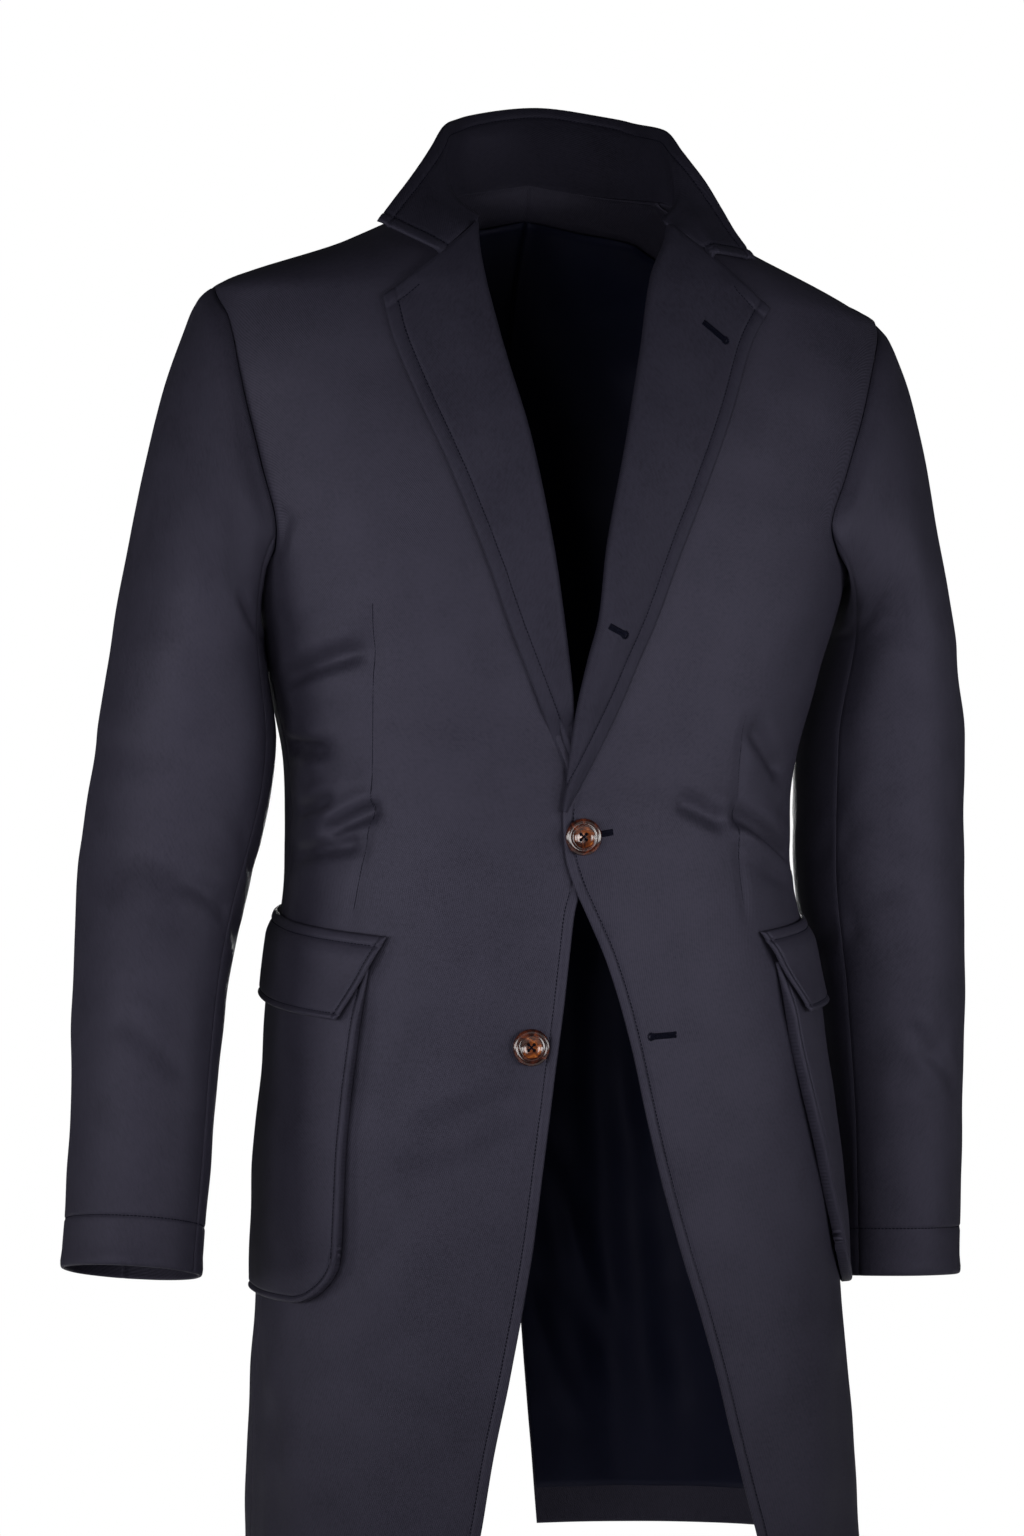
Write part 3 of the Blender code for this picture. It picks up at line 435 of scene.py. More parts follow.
# Weave: scale of a wave of one metre, periods in a grain, shares of twill, weave and soft tone
WAVE_SCALE = 0.31416
GRAIN_PERIODS = 2.2
TWILL_SHARE = 0.6
WEAVE_TONE = 0.45
SOFT_TONE = 0.5

# Picture: turn of the camera, distance, height, pixels a metre, and the pixel of the axis at camera height
IMAGE_WIDTH = 1024
IMAGE_HEIGHT = 1536
CAMERA_TURN_DEG = -14.0
CAMERA_DISTANCE = 3.6
CAMERA_Z = -0.30
PIXELS_PER_METRE = 1500.0
AXIS_PIXEL = (546.0, 650.0)
FLOOR_Z = -1.45
FLOOR_HALF = 2.5
SENSOR = 36.0

# Lights: name, turn from the front in degrees, distance, height, power, size
LIGHTS = (
    ("side_right", -84.0, 2.2, -0.46, 1.30, 0.7),
    ("key_right", -52.0, 1.8, -0.40, 1.12, 0.6),
    ("front", -26.0, 1.9, -0.38, 1.00, 0.6),
    ("key_left", 26.0, 1.8, -0.38, 1.12, 0.6),
    ("fill_left", 50.0, 1.8, -0.38, 0.95, 0.6),
    ("side_left", 100.0, 2.2, -0.36, 0.05, 0.7),
    ("rear", 167.0, 3.0, -0.20, 5.00, 0.8),
)
LIGHT_AIM_Z = -0.37
LIGHT_SPREAD_DEG = 55.0
FLOOR_LIGHT = 44.0
FLOOR_LIGHT_SIZE = 5.0
FLOOR_LIGHT_UP = 0.45
WORLD_LIGHT = 0.035


# Shape functions of the part

def smooth(table, column, at):
    """Monotone cubic through one column of a table, by its first column."""
    rows = np.array(sorted(table), dtype=float)
    xs, ys = rows[:, 0], rows[:, column]
    step = np.diff(xs)
    slope = np.diff(ys) / step
    tangent = np.zeros(len(xs))
    tangent[0], tangent[-1] = slope[0], slope[-1]
    for k in range(1, len(xs) - 1):
        if slope[k - 1] * slope[k] > 0:
            tangent[k] = 2 * slope[k - 1] * slope[k] / (slope[k - 1] + slope[k])
    at = np.clip(np.asarray(at, dtype=float), xs[0], xs[-1])
    k = np.clip(np.searchsorted(xs, at, side="right") - 1, 0, len(step) - 1)
    t = (at - xs[k]) / step[k]
    rise = step[k]
    return (ys[k] * (1 + 2 * t) * (1 - t) ** 2 + rise * tangent[k] * t * (1 - t) ** 2
            + ys[k + 1] * t * t * (3 - 2 * t) + rise * tangent[k + 1] * t * t * (t - 1))


def ease(t):
    t = np.clip(t, 0.0, 1.0)
    return t * t * (3 - 2 * t)


def unit(v):
    return v / np.maximum(np.linalg.norm(v, axis=-1, keepdims=True), 1e-12)


def strokes(table, u, v, across, lip=0.0, fade=None):
    """Depth of soft troughs drawn from end to end, with a raised lip on each side."""
    total = np.zeros(np.shape(u))
    for u0, v0, u1, v1, width, depth in table:
        start = np.array((u0 * across, v0))
        run = np.array((u1 * across, v1)) - start
        length = np.hypot(*run)
        du, dv = u * across - start[0], v - start[1]
        far = (du * run[0] + dv * run[1]) / length
        off = np.abs(dv * run[0] - du * run[1]) / length
        reach = fade or max(CREASE_FADE, 0.25 * length)
        ends = ease((far + 0.5 * reach) / reach) * ease((length + 0.5 * reach - far) / reach)
        raised = lip * np.exp(-((off / width - LIP_AT) / LIP_HALF) ** 2)
        total = total + depth * ends * (np.exp(-(off / width) ** 2) - raised)
    return total


def fold_depth(phi, z):
    rows = [(math.radians(a0), z0, math.radians(a1), z1, w, d) for a0, z0, a1, z1, w, d in FOLDS]
    return strokes(rows, phi, z, FOLD_RADIUS, fade=FOLD_FADE)


def section_radius(phi, z):
    half = smooth(SECTIONS, 1, z)
    depth = np.where(np.cos(phi) > 0, smooth(SECTIONS, 2, z), smooth(SECTIONS, 3, z))
    far = np.abs(np.sin(phi) / half) ** SQUARENESS + np.abs(np.cos(phi) / depth) ** SQUARENESS
    return far ** (-1 / SQUARENESS)


def body(phi, z):
    """Point on the outer face of the body, by angle from the centre front and height."""
    phi, z = np.broadcast_arrays(np.asarray(phi, dtype=float), np.asarray(z, dtype=float))
    radius = section_radius(phi, z) - fold_depth(phi, z)
    x = smooth(SECTIONS, 4, z) + radius * np.sin(phi)
    out = np.clip((x - LOW_SHOULDER_START) / LOW_SHOULDER_RUN, 0, 1) ** LOW_SHOULDER_POWER
    drop = LOW_SHOULDER_DROP * out * ease((z - ARMPIT_Z) / LOW_SHOULDER_FADE)
    return np.stack((x, -radius * np.cos(phi), z - drop), axis=-1)


def body_normal(phi, z):
    d_phi, d_z = 0.004, 0.0008
    around = body(phi + d_phi, z) - body(phi - d_phi, z)
    up = body(phi, z + d_z) - body(phi, z - d_z)
    return unit(np.cross(around, up))


def off_body(phi, z, lift):
    return body(phi, z) + np.asarray(lift)[..., None] * body_normal(phi, z)


def overlap(phi):
    """The left front lies over the right one near the centre front."""
    start, end = np.radians(OVERLAP_END_DEG)
    return OVERLAP_LIFT * (1 - ease((phi - start) / (end - start)))


def lay_flat(at):
    """(Angle, height) on a positive side to (distance across, height)."""
    phi, z = at[..., 0], at[..., 1]
    return np.stack((section_radius(phi, z) * np.sin(phi), z), axis=-1)


def wrap_round(flat, back):
    """(Distance across, height) back to (angle, height) on the front or the back."""
    x, z = flat[..., 0], flat[..., 1]
    depth = smooth(SECTIONS, 3 if back else 2, z)
    share = np.clip(x / smooth(SECTIONS, 1, z), 0, 1)
    reach = depth * (1 - share ** SQUARENESS) ** (1 / SQUARENESS)
    return np.stack((np.arctan2(x, -reach if back else reach), z), axis=-1)


def coons(bottom, top, inner, outer, u, v):
    """Blend four edges, each an array of (across, height), into a grid."""
    u, v = 1 - (1 - u[None, :, None]) ** ARMHOLE_REACH, v[:, None, None]
    sides = (1 - v) * bottom[None] + v * top[None] + (1 - u) * inner[:, None] + u * outer[:, None]
    corners = ((1 - u) * (1 - v) * bottom[0] + u * (1 - v) * bottom[-1]
               + (1 - u) * v * top[0] + u * v * top[-1])
    return sides - corners


def armhole(share, side, back):
    column = 4 if back else 2 if side < 0 else 3
    return np.stack((np.radians(smooth(ARMHOLE, column, share)), smooth(ARMHOLE, 1, share)), axis=-1)


def pairs(phi, z):
    phi, z = np.broadcast_arrays(np.asarray(phi, dtype=float), np.asarray(z, dtype=float))
    return np.stack((phi, z), axis=-1)


def front_grid(side, low_z, shares, u):
    """Angle and height of each point of a front, from the hem up and from the edge to the side."""
    table = EDGE_RIGHT if side < 0 else EDGE_LEFT
    edge = side * np.radians(smooth(table, 1, low_z))
    low = edge[:, None] + (math.pi / 2 - edge[:, None]) * u[None]
    lower = pairs(low, low_z[:, None])
    inner_z = ARMPIT_Z * (1 - shares)
    inner = pairs(side * np.radians(smooth(table, 1, inner_z)), inner_z)
    top = pairs(math.pi / 2 + (inner[-1, 0] - math.pi / 2) * (1 - u), TIP_Z * u)
    outer = armhole(shares, side, False)
    upper = coons(lay_flat(lower[-1]), lay_flat(top), lay_flat(inner), lay_flat(outer), u, shares)
    grid = np.concatenate((lower, wrap_round(upper[1:], False)))
    grid[..., 0] = side * np.minimum(grid[..., 0], math.pi / 2)
    return grid


def back_grid(side, low_z, shares, u):
    """Angle and height of each point of a back, from the hem up and from the centre back to the side."""
    spread = np.radians(VENT_SPREAD_DEG) * np.clip((VENT_TOP_Z - low_z) / (VENT_TOP_Z - HEM_Z), 0, 1)
    centre = math.pi - spread
    low = centre[:, None] + (math.pi / 2 - centre[:, None]) * u[None]
    lower = pairs(low, low_z[:, None])
    on_neck = np.clip(u / BACK_NECK_SHARE, 0, 1)
    on_shoulder = np.clip((u - BACK_NECK_SHARE) / (1 - BACK_NECK_SHARE), 0, 1)
    top = pairs(math.pi - math.pi / 2 * on_neck, NECK_BACK_Z * (1 - on_neck) + TIP_Z * on_shoulder)
    inner = pairs(math.pi, ARMPIT_Z + (NECK_BACK_Z - ARMPIT_Z) * shares)
    outer = armhole(shares, side, True)
    upper = coons(lay_flat(lower[-1]), lay_flat(top), lay_flat(inner), lay_flat(outer), u, shares)
    grid = np.concatenate((lower, wrap_round(upper[1:], True)))
    grid[..., 0] = side * np.clip(grid[..., 0], math.pi / 2, math.pi)
    return grid


def armhole_inward(points):
    """Direction from the armhole's edge toward its middle, across the way through."""
    y = ARMHOLE_MIDDLE_Y - points[..., 1]
    z = 0.5 * (ARMPIT_Z + TIP_Z) - points[..., 2]
    return unit(np.stack((np.zeros(y.shape), y, z), axis=-1))


def sleeve_ring(table, side, psi, z):
    step = 0.002
    top, low = table[0][0], table[-1][0]
    above, below = np.minimum(z + step, top), np.maximum(z - step, low)
    run = above - below
    lean_x = (smooth(table, 1, below) - smooth(table, 1, above)) / run
    lean_y = (smooth(table, 2, below) - smooth(table, 2, above)) / run
    dx = smooth(table, 3, z) * np.cos(psi)
    dy = -smooth(table, 4, z) * np.sin(psi)
    x = smooth(table, 1, z) + dx
    y = smooth(table, 2, z) + dy
    return np.stack((side * x, y, z + lean_x * dx + lean_y * dy), axis=-1)


def sleeve(table, side, psi, s):
    """Point on a sleeve: psi from the outer side over the front, s 0 to 1 is the head and 1 to 2 the arm."""
    psi, s = np.broadcast_arrays(np.asarray(psi, dtype=float), np.asarray(s, dtype=float))
    top, low = table[0][0], table[-1][0]
    arm = sleeve_ring(table, side, psi, top + (low - top) * np.clip(s - 1, 0, 1))
    turn = np.mod(psi, 2 * math.pi)
    on_front = turn <= math.pi
    share = np.where(on_front, 1 - turn / math.pi, turn / math.pi - 1)
    fore, hind = armhole(share, side, False), armhole(share, side, True)
    at = np.where(on_front[..., None], fore, hind)
    seam = body(side * at[..., 0], at[..., 1])
    leave = (LEAVE_OUT * np.array((side, 0, 0)) - LEAVE_WIDER * armhole_inward(seam)
             + np.array((0, 0, -LEAVE_DOWN)))
    ring = sleeve_ring(table, side, psi, np.full(s.shape, top))
    down = sleeve_ring(table, side, psi, np.full(s.shape, top - 0.004)) - ring
    chord = np.linalg.norm(ring - seam, axis=-1, keepdims=True)
    t = np.clip(s, 0, 1)[..., None]
    head = ((1 + 2 * t) * (1 - t) ** 2 * seam
            + t * (1 - t) ** 2 * np.minimum(HEAD_PULL, PULL_SHARE * chord) * unit(leave)
            + t * t * (3 - 2 * t) * ring
            + t * t * (t - 1) * np.minimum(ARM_PULL, PULL_SHARE * chord) * unit(down))
    return np.where((s <= 1)[..., None], head, arm)


# Grids, distances and meshes

def ticks(length, step, start, end):
    """Shares of a run: close together as given at its two ends, even between them."""
    first = np.array(start)
    last = length - np.array(end)[::-1]
    count = max(1, int(round((last[0] - first[-1]) / step)))
    between = np.linspace(first[-1], last[0], count + 1)[1:-1]
    return np.concatenate((first, between, last)) / length


def lengths(points, axis=0):
    """Distance along each line of points, from its start."""
    step = np.linalg.norm(np.diff(points, axis=axis), axis=-1)
    return np.insert(np.cumsum(step, axis=axis), 0, 0.0, axis=axis)


def resample(line, at):
    """Points of a line at given distances along it."""
    run = lengths(line)
    return np.stack([np.interp(at, run, line[:, k]) for k in range(line.shape[1])], axis=-1)


def tree_of(points):
    tree = KDTree(len(points))
    for k, p in enumerate(points.tolist()):
        tree.insert(p, k)
    tree.balance()
    return tree


def distance(points, lines):
    """Distance of each point from the nearest of some border lines."""
    if not lines:
        return np.full(points.shape[:-1], 1.0)
    fine = []
    for line in lines:
        fine += [line, resample(line, np.arange(0, lengths(line)[-1], BORDER_STEP))]
    tree = tree_of(np.concatenate(fine))
    near = [tree.find(p)[2] for p in points.reshape(-1, 3).tolist()]
    return np.array(near).reshape(points.shape[:-1])


def grid_normal(points, like):
    """Normal of a grid of points, on the side of a given direction at its middle."""
    normal = unit(np.cross(np.gradient(points, axis=1), np.gradient(points, axis=0)))
    middle = tuple(n // 2 for n in points.shape[:2])
    return normal if np.dot(normal[middle], like) > 0 else -normal


def grid_area(points):
    a = points[1:, 1:] - points[:-1, :-1]
    b = points[1:, :-1] - points[:-1, 1:]
    return 0.5 * float(np.linalg.norm(np.cross(a, b), axis=-1).sum())


def add_mesh(name, points, faces, looks, uv=None, look_of=None):
    """Smooth mesh object of four-sided faces, with its texture map in metres."""
    faces = np.asarray(faces, dtype=np.int32)
    mesh = bpy.data.meshes.new(name)
    mesh.vertices.add(len(points))
    mesh.vertices.foreach_set("co", np.asarray(points, dtype=np.float32).ravel())
    mesh.loops.add(faces.size)
    mesh.loops.foreach_set("vertex_index", faces.ravel())
    mesh.polygons.add(len(faces))
    mesh.polygons.foreach_set("loop_start", np.arange(0, faces.size, 4, dtype=np.int32))
    mesh.polygons.foreach_set("use_smooth", np.ones(len(faces), dtype=bool))
    for look in looks:
        mesh.materials.append(look)
    if look_of is not None:
        mesh.polygons.foreach_set("material_index", np.asarray(look_of, dtype=np.int32))
    if uv is not None:
        layer = mesh.uv_layers.new(name="cloth")
        layer.data.foreach_set("uv", np.asarray(uv, dtype=np.float32)[faces.ravel()].ravel())
    mesh.update(calc_edges=True)
    mesh.validate()
    thing = bpy.data.objects.new(name, mesh)
    bpy.context.scene.collection.objects.link(thing)
    return thing


class Piece:
    """One cut piece of cloth: outer face, outward direction, distance from free edges, and its object."""

    def __init__(self, name, outer, out, edge):
        self.name = name
        self.outer = outer
        self.out = out
        self.edge = edge
        self.thing = None
        self.tree = None

    def settle(self, points):
        """Points moved onto the outer face, and the outward directions there."""
        if self.tree is None:
            self.tree = tree_of(self.outer.reshape(-1, 3))
        nearest = np.array([self.tree.find(p)[1] for p in points.tolist()])
        foot = self.outer.reshape(-1, 3)[nearest]
        out = self.out.reshape(-1, 3)[nearest]
        return points - np.sum((points - foot) * out, axis=-1, keepdims=True) * out, out


PIECES = {}


def cloth(node, base, out, lift=0.0, free=(), sewn=(), stitched=(), thick=CLOTH, deep=0.0, lined=None,
          looks=None):
    """Closed sheet of cloth over a grid, with rounded free edges, stitched welts and sunk seams."""
    edge = distance(base, list(free))
    seam = distance(base, list(sewn))
    height = lift * ease(seam / SEAM_CALM) - SEAM_DIP * np.exp(-(seam / SEAM_HALF) ** 2)
    for line, depth, share in stitched:
        away = distance(base, [line])
        sunk = GROOVE * np.exp(-((away - depth) / GROOVE_HALF) ** 2)
        raised = WELT * np.sin(math.pi * np.clip(away / min(depth, WELT_REACH), 0, 1))
        height = height + share * (raised - sunk)
    left = np.maximum(np.sqrt(1 - (1 - np.clip(edge / EDGE_ROUND, 0, 1)) ** 2), EDGE_LEAST)
    outer = base + out * (height - (1 - left) * thick / 2)[..., None]
    inner = outer - out * (left * thick + deep)[..., None]
    rows, cols = base.shape[:2]
    count = rows * cols
    first = (np.arange(rows - 1)[:, None] * cols + np.arange(cols - 1)[None]).ravel()
    front = np.stack((first, first + 1, first + 1 + cols, first + cols), axis=-1)
    i, j = rows // 2, cols // 2
    turn = np.cross(base[i, j + 1] - base[i, j], base[i + 1, j] - base[i, j])
    flipped = np.dot(turn, out[i, j]) < 0
    if flipped:
        front = front[:, ::-1]
    back = front[:, ::-1] + count
    top_row = (rows - 1) * cols + np.arange(cols - 2, -1, -1)
    ring = np.concatenate((np.arange(cols), np.arange(2, rows + 1) * cols - 1, top_row,
                           np.arange(rows - 2, 0, -1) * cols))
    after = np.roll(ring, -1)
    rim = np.stack((after, ring, ring + count, after + count), axis=-1)
    if flipped:
        rim = rim[:, ::-1]
    faces = np.concatenate((front, back, rim))
    across, up = lengths(base, 1), lengths(base, 0)
    uv = np.tile(np.stack((across, up), axis=-1).reshape(-1, 2), (2, 1))
    look_of = np.zeros(len(faces), dtype=np.int32)
    if lined is not None:
        look_of[len(front):2 * len(front)] = lined[:-1, :-1].ravel()
    # Inner faces past a facing take the lining look, whose tones carry painted shade
    looks = looks or (SHELL_LOOK, LINING_PAINTED_SHADE_LOOK)
    piece = Piece(node, outer, out, edge)
    points = np.concatenate((outer.reshape(-1, 3), inner.reshape(-1, 3)))
    piece.thing = add_mesh(node + "_cloth", points, faces, looks, uv, look_of)
    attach(piece.thing, "root")
    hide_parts(node)
    area = grid_area(base)
    width, length = float(across[:, -1].max()), float(up[-1].max())
    if area > width * length:
        length = area / width
    print("cut", node, "%.3f x %.3f m, %.4f m2" % (width, length, area))
    PIECES[node] = piece
    return piece


# Stitches

def inset(piece, line, base, depth, axis, from_end):
    """Path on a piece at an even depth inside one border: axis 0 for a side, axis 1 for a row."""
    away = distance(base, [line])
    outer, out, edge = piece.outer, piece.out, piece.edge
    if axis == 1:
        outer, out = outer.transpose(1, 0, 2), out.transpose(1, 0, 2)
        away, edge = away.T, edge.T
    if from_end:
        outer, out, away, edge = outer[:, ::-1], out[:, ::-1], away[:, ::-1], edge[:, ::-1]
    path, ways = [], []
    for k in range(len(outer)):
        j = int(np.argmax(away[k] >= depth))
        if j == 0:
            continue
        t = (depth - away[k, j - 1]) / (away[k, j] - away[k, j - 1])
        if edge[k, j - 1] + (edge[k, j] - edge[k, j - 1]) * t < 0.93 * min(depth, STITCH_FROM_EDGE):
            continue
        path.append(outer[k, j - 1] + (outer[k, j] - outer[k, j - 1]) * t)
        ways.append(out[k, j])
    return np.array(path), np.array(ways)


def capsules(centres, along, out, length, width, height):
    """Small rounded bars, one at each centre."""
    along = unit(along - np.sum(along * out, axis=-1, keepdims=True) * out)
    beside = np.cross(out, along)
    points = []
    for far, girth in BAR:
        for turn in np.arange(BAR_SIDES) * math.pi / 3:
            points.append(centres + along * (far * length) + beside * (0.5 * width * girth * math.cos(turn))
                          + out * (height * girth * math.sin(turn)))
    points = np.stack(points, axis=1)
    template = []
    for r in range(len(BAR) - 1):
        for k in range(BAR_SIDES):
            a, b = BAR_SIDES * r + k, BAR_SIDES * r + (k + 1) % BAR_SIDES
            template.append((a, b, b + BAR_SIDES, a + BAR_SIDES))
    last = BAR_SIDES * (len(BAR) - 1)
    template += [(3, 2, 1, 0), (5, 4, 3, 0)]
    template += [(last, last + 1, last + 2, last + 3), (last, last + 3, last + 4, last + 5)]
    first = np.arange(len(centres))[:, None, None] * len(BAR) * BAR_SIDES
    return points.reshape(-1, 3), (first + np.array(template)[None]).reshape(-1, 4)


class Threads:
    """Threads gathered for one piece and made into one object."""

    def __init__(self, node):
        self.node = node
        self.points = []
        self.faces = []
        self.count = 0

    def add(self, points, faces):
        self.points.append(points)
        self.faces.append(faces + self.count)
        self.count += len(points)

    def row(self, path, out):
        """A row of topstitches along a path."""
        total = lengths(path)[-1]
        at = np.arange(0.5 * STITCH_PITCH, total, STITCH_PITCH)
        centres = resample(path, at)
        ahead = resample(path, np.minimum(at + STITCH_AHEAD, total))
        along = ahead - resample(path, np.maximum(at - STITCH_AHEAD, 0))
        ways = unit(np.stack([np.interp(at, lengths(path), out[:, k]) for k in range(3)], axis=-1))
        centres = centres + STITCH_RISE * ways
        self.add(*capsules(centres, along, ways, STITCH_LENGTH, STITCH_WIDTH, STITCH_HEIGHT))

    def seam(self, path, out):
        """A thin dark seam line along a path."""
        pitch, length, width, height = DART_SEAM
        at = np.arange(0.5 * pitch, lengths(path)[-1], pitch)
        centres = resample(path, at)
        ways = unit(resample(out, np.linspace(0, lengths(out)[-1], len(at))))
        self.add(*capsules(centres, np.gradient(centres, axis=0), ways, length, width, height))

    def finish(self):
        points, faces = np.concatenate(self.points), np.concatenate(self.faces)
        thing = add_mesh(self.node + "_stitches", points, faces, (THREAD_LOOK,))
        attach(thing, "root")


# Materials

class Look:
    """A material with its shader, to which nodes are added one by one."""

    def __init__(self, name, colour, roughness):
        self.material = bpy.data.materials.new(name)
        self.material.use_nodes = True
        self.nodes = self.material.node_tree.nodes
        self.links = self.material.node_tree.links
        self.shader = self.nodes["Principled BSDF"]
        self.place = self.nodes.new("ShaderNodeTexCoord").outputs
        self.set("Base Color", colour + (1.0,))
        self.set("Roughness", roughness)

    def set(self, name, value):
        self.shader.inputs[name].default_value = value

    def node(self, kind, source, socket, values=()):
        """New node with one input linked and some values set."""
        node = self.nodes.new("ShaderNode" + kind)
        for name, value in values:
            node.inputs[name].default_value = value
        self.links.new(source, node.inputs[socket])
        return node

    def noise(self, place, values):
        return self.node("TexNoise", place, "Vector", values).outputs["Fac"]

    def scaled(self, value, factor, added=None):
        """A value times a factor, with another one added."""
        node = self.node("Math", value, 0, ((1, factor),))
        node.operation = "MULTIPLY_ADD" if added else "MULTIPLY"
        if added:
            self.links.new(added, node.inputs[2])
        return node.outputs["Value"]

    def colours(self, value, *stops):
        """Base colour by a value: position and colour of each stop."""
        ramp = self.node("ValToRGB", value, "Fac")
        elements = ramp.color_ramp.elements
        for element, (at, colour) in zip(elements, (stops[0], stops[-1])):
            element.position = at
            element.color = colour + (1.0,)
        for at, colour in stops[1:-1]:
            elements.new(at).color = colour + (1.0,)
        self.links.new(ramp.outputs["Color"], self.shader.inputs["Base Color"])


def woven(name, low, high, roughness, period, slope_deg, depth, gloss):
    """Fine diagonal weave on the texture map in metres, with soft changes of tone."""
    look = Look(name, low, roughness)
    turn = look.node("Mapping", look.place["UV"], "Vector", (("Rotation", (0, 0, math.radians(slope_deg))),))
    twill = look.node("TexWave", turn.outputs["Vector"], "Vector", (
        ("Scale", WAVE_SCALE / period), ("Distortion", 1.4), ("Detail", 2.0), ("Detail Scale", 2.5)))
    grain = look.noise(look.place["UV"], (("Scale", 1 / (GRAIN_PERIODS * period)), ("Detail", 3.0)))
    mixed = look.scaled(twill.outputs["Fac"], TWILL_SHARE, grain)
    bump = look.node("Bump", mixed, "Height", (("Strength", 0.6), ("Distance", depth)))
    look.links.new(bump.outputs["Normal"], look.shader.inputs["Normal"])
    tone = look.noise(look.place["Object"], (("Scale", 26.0), ("Detail", 6.0), ("Roughness", 0.7)))
    mixed_tone = look.scaled(mixed, WEAVE_TONE, look.scaled(tone, SOFT_TONE))
    look.colours(mixed_tone, (0.3, low), (0.7, high))
    look.set("Specular IOR Level", gloss)
    look.set("Specular Tint", (0.78, 0.74, 1.0, 1.0))
    return look.material


def thread_look():
    look = Look("thread", (0.0015, 0.0018, 0.006), 0.7)
    look.set("Specular IOR Level", 0.06)
    twist = look.noise(look.place["Object"], (("Scale", 900.0),))
    look.colours(twist, (0.3, (0.0010, 0.0012, 0.0045)), (0.7, (0.0030, 0.0034, 0.0100)))
    return look.material


def horn_look(name, dark, middle, light):
    """Polished horn of three mixed tones."""
    look = Look(name, middle, 0.2)
    spots = look.noise(look.place["Object"], (("Scale", 170.0), ("Detail", 3.0), ("Distortion", 1.2)))
    look.colours(spots, (0.38, dark), (0.54, middle), (0.70, light))
    look.set("Coat Weight", 0.4)
    look.set("Coat Roughness", 0.06)
    return look.material


def stage_look():
    look = Look("floor", (0.80, 0.80, 0.79), 0.8)
    tone = look.noise(look.place["Object"], (("Scale", 3.0),))
    look.colours(tone, (0.3, (0.78, 0.78, 0.77)), (0.7, (0.82, 0.82, 0.81)))
    return look.material


# Shell, shell cut on the bias with painted shade in its tones, lining with painted shade in its tones: two
# tones, roughness, period, slope, depth and gloss of the weave
SHELL_LOOK = woven("shell_cloth", (0.0076, 0.0071, 0.0118), (0.0236, 0.0219, 0.0337),
                   0.55, 0.0012, 27.0, 0.00020, 0.22)
# Cut on the bias, with a steeper weave and less gloss; its two tones are also darker than the shell's, as
# painted shade standing in for a weaker sheen
BIAS_PAINTED_SHADE_LOOK = woven("shell_on_bias_painted_shade", (0.0066, 0.0062, 0.0104), (0.0200, 0.0188, 0.0294),
                  0.55, 0.0012, 63.0, 0.00020, 0.13)
# Lining: its own deep navy, made darker still as painted shade for the shade inside the coat
LINING_PAINTED_SHADE_LOOK = woven("lining_cloth", (0.0024, 0.0030, 0.0086), (0.0052, 0.0064, 0.0170),
                    0.42, 0.0006, 45.0, 0.00008, 0.10)
THREAD_LOOK = thread_look()
HORN_LOOK = horn_look("horn_rim", (0.012, 0.003, 0.002), (0.040, 0.008, 0.004), (0.110, 0.024, 0.008))
AMBER_LOOK = horn_look("horn_middle", (0.030, 0.007, 0.003), (0.150, 0.036, 0.008), (0.420, 0.130, 0.025))


# Pieces

def waves(across, up, phase):
    total = np.zeros(np.shape(across))
    for k, (fx, fy, high) in enumerate(WAVES):
        total = total + high * np.sin(2 * math.pi * (fx * across + fy * up) + 1.9 * k + phase)
    return total


def body_relief(phi, z):
    """Height of the fine creases, the darts and the low waves of the body."""
    turn = np.degrees(phi)
    relief = waves(phi * FOLD_RADIUS, z, 0.7) - strokes(CREASES, turn, z, BODY_ARC, CREASE_LIP)
    for dart in (DART_RIGHT, DART_LEFT):
        line = [(z0, a0) for a0, z0 in dart]
        away = np.radians(turn - smooth(line, 1, z)) * FOLD_RADIUS
        low_end = ease((z - dart[-1][1] + DART_LOW_FADE) / DART_LOW_FADE)
        ends = low_end * ease((dart[0][1] + DART_ABOVE - z) / DART_TOP_FADE)
        relief = relief - DART_DEPTH * ends * np.exp(-(away / DART_HALF) ** 2)
    return relief


def make_bodies():
    low = ticks(ARMPIT_Z - HEM_Z, SKIRT_STEP, FREE[:6], PLAIN)
    low_z = HEM_Z + (ARMPIT_Z - HEM_Z) * low
    shares = ticks(*RUNS["yoke"], PLAIN, SEWN)
    for side, word in ((RIGHT, "right"), (LEFT, "left")):
        node = "front_" + word
        at = front_grid(side, low_z, shares, ticks(*RUNS["front"], FREE, SEWN))
        phi, z = at[..., 0], at[..., 1]
        raised = overlap(phi) if side > 0 else np.zeros(phi.shape)
        base, out = off_body(phi, z, raised), body_normal(phi, z)
        from_edge = distance(base, [base[:, 0]])
        below_lapel = z[:, 0] < WELT_TOP_Z[word]
        piece = cloth(node, base, out, body_relief(phi, z), (base[:, 0], base[0]), (base[:, -1], base[-1]),
                      ((base[below_lapel, 0], FRONT_STITCH, 1.0),), lined=from_edge > FACING_WIDTH)
        threads = Threads(node)
        path, ways = inset(piece, base[:, 0], base, FRONT_STITCH, 0, False)
        keep = path[:, 2] < STITCH_TOP_Z[word]
        threads.row(path[keep], ways[keep])
        dart = DART_RIGHT if side < 0 else DART_LEFT
        dart_z = np.linspace(dart[0][1], dart[-1][1], DART_POINTS)
        dart_phi = np.radians(smooth([(z0, a0) for a0, z0 in dart], 1, dart_z))
        threads.seam(*piece.settle(off_body(dart_phi, dart_z, np.zeros(DART_POINTS))))
        threads.finish()

        at = back_grid(side, low_z, shares, ticks(*RUNS["back"], FREE[:6], SEWN))
        phi, z = at[..., 0], at[..., 1]
        base, out = off_body(phi, z, np.zeros(phi.shape)), body_normal(phi, z)
        below = z[:, 0] < VENT_TOP_Z
        cloth("back_" + word, base, out, body_relief(phi, z), (base[below, 0], base[0]),
              (base[:, -1], base[-1], base[~below, 0]))
        make_lining(side, word)


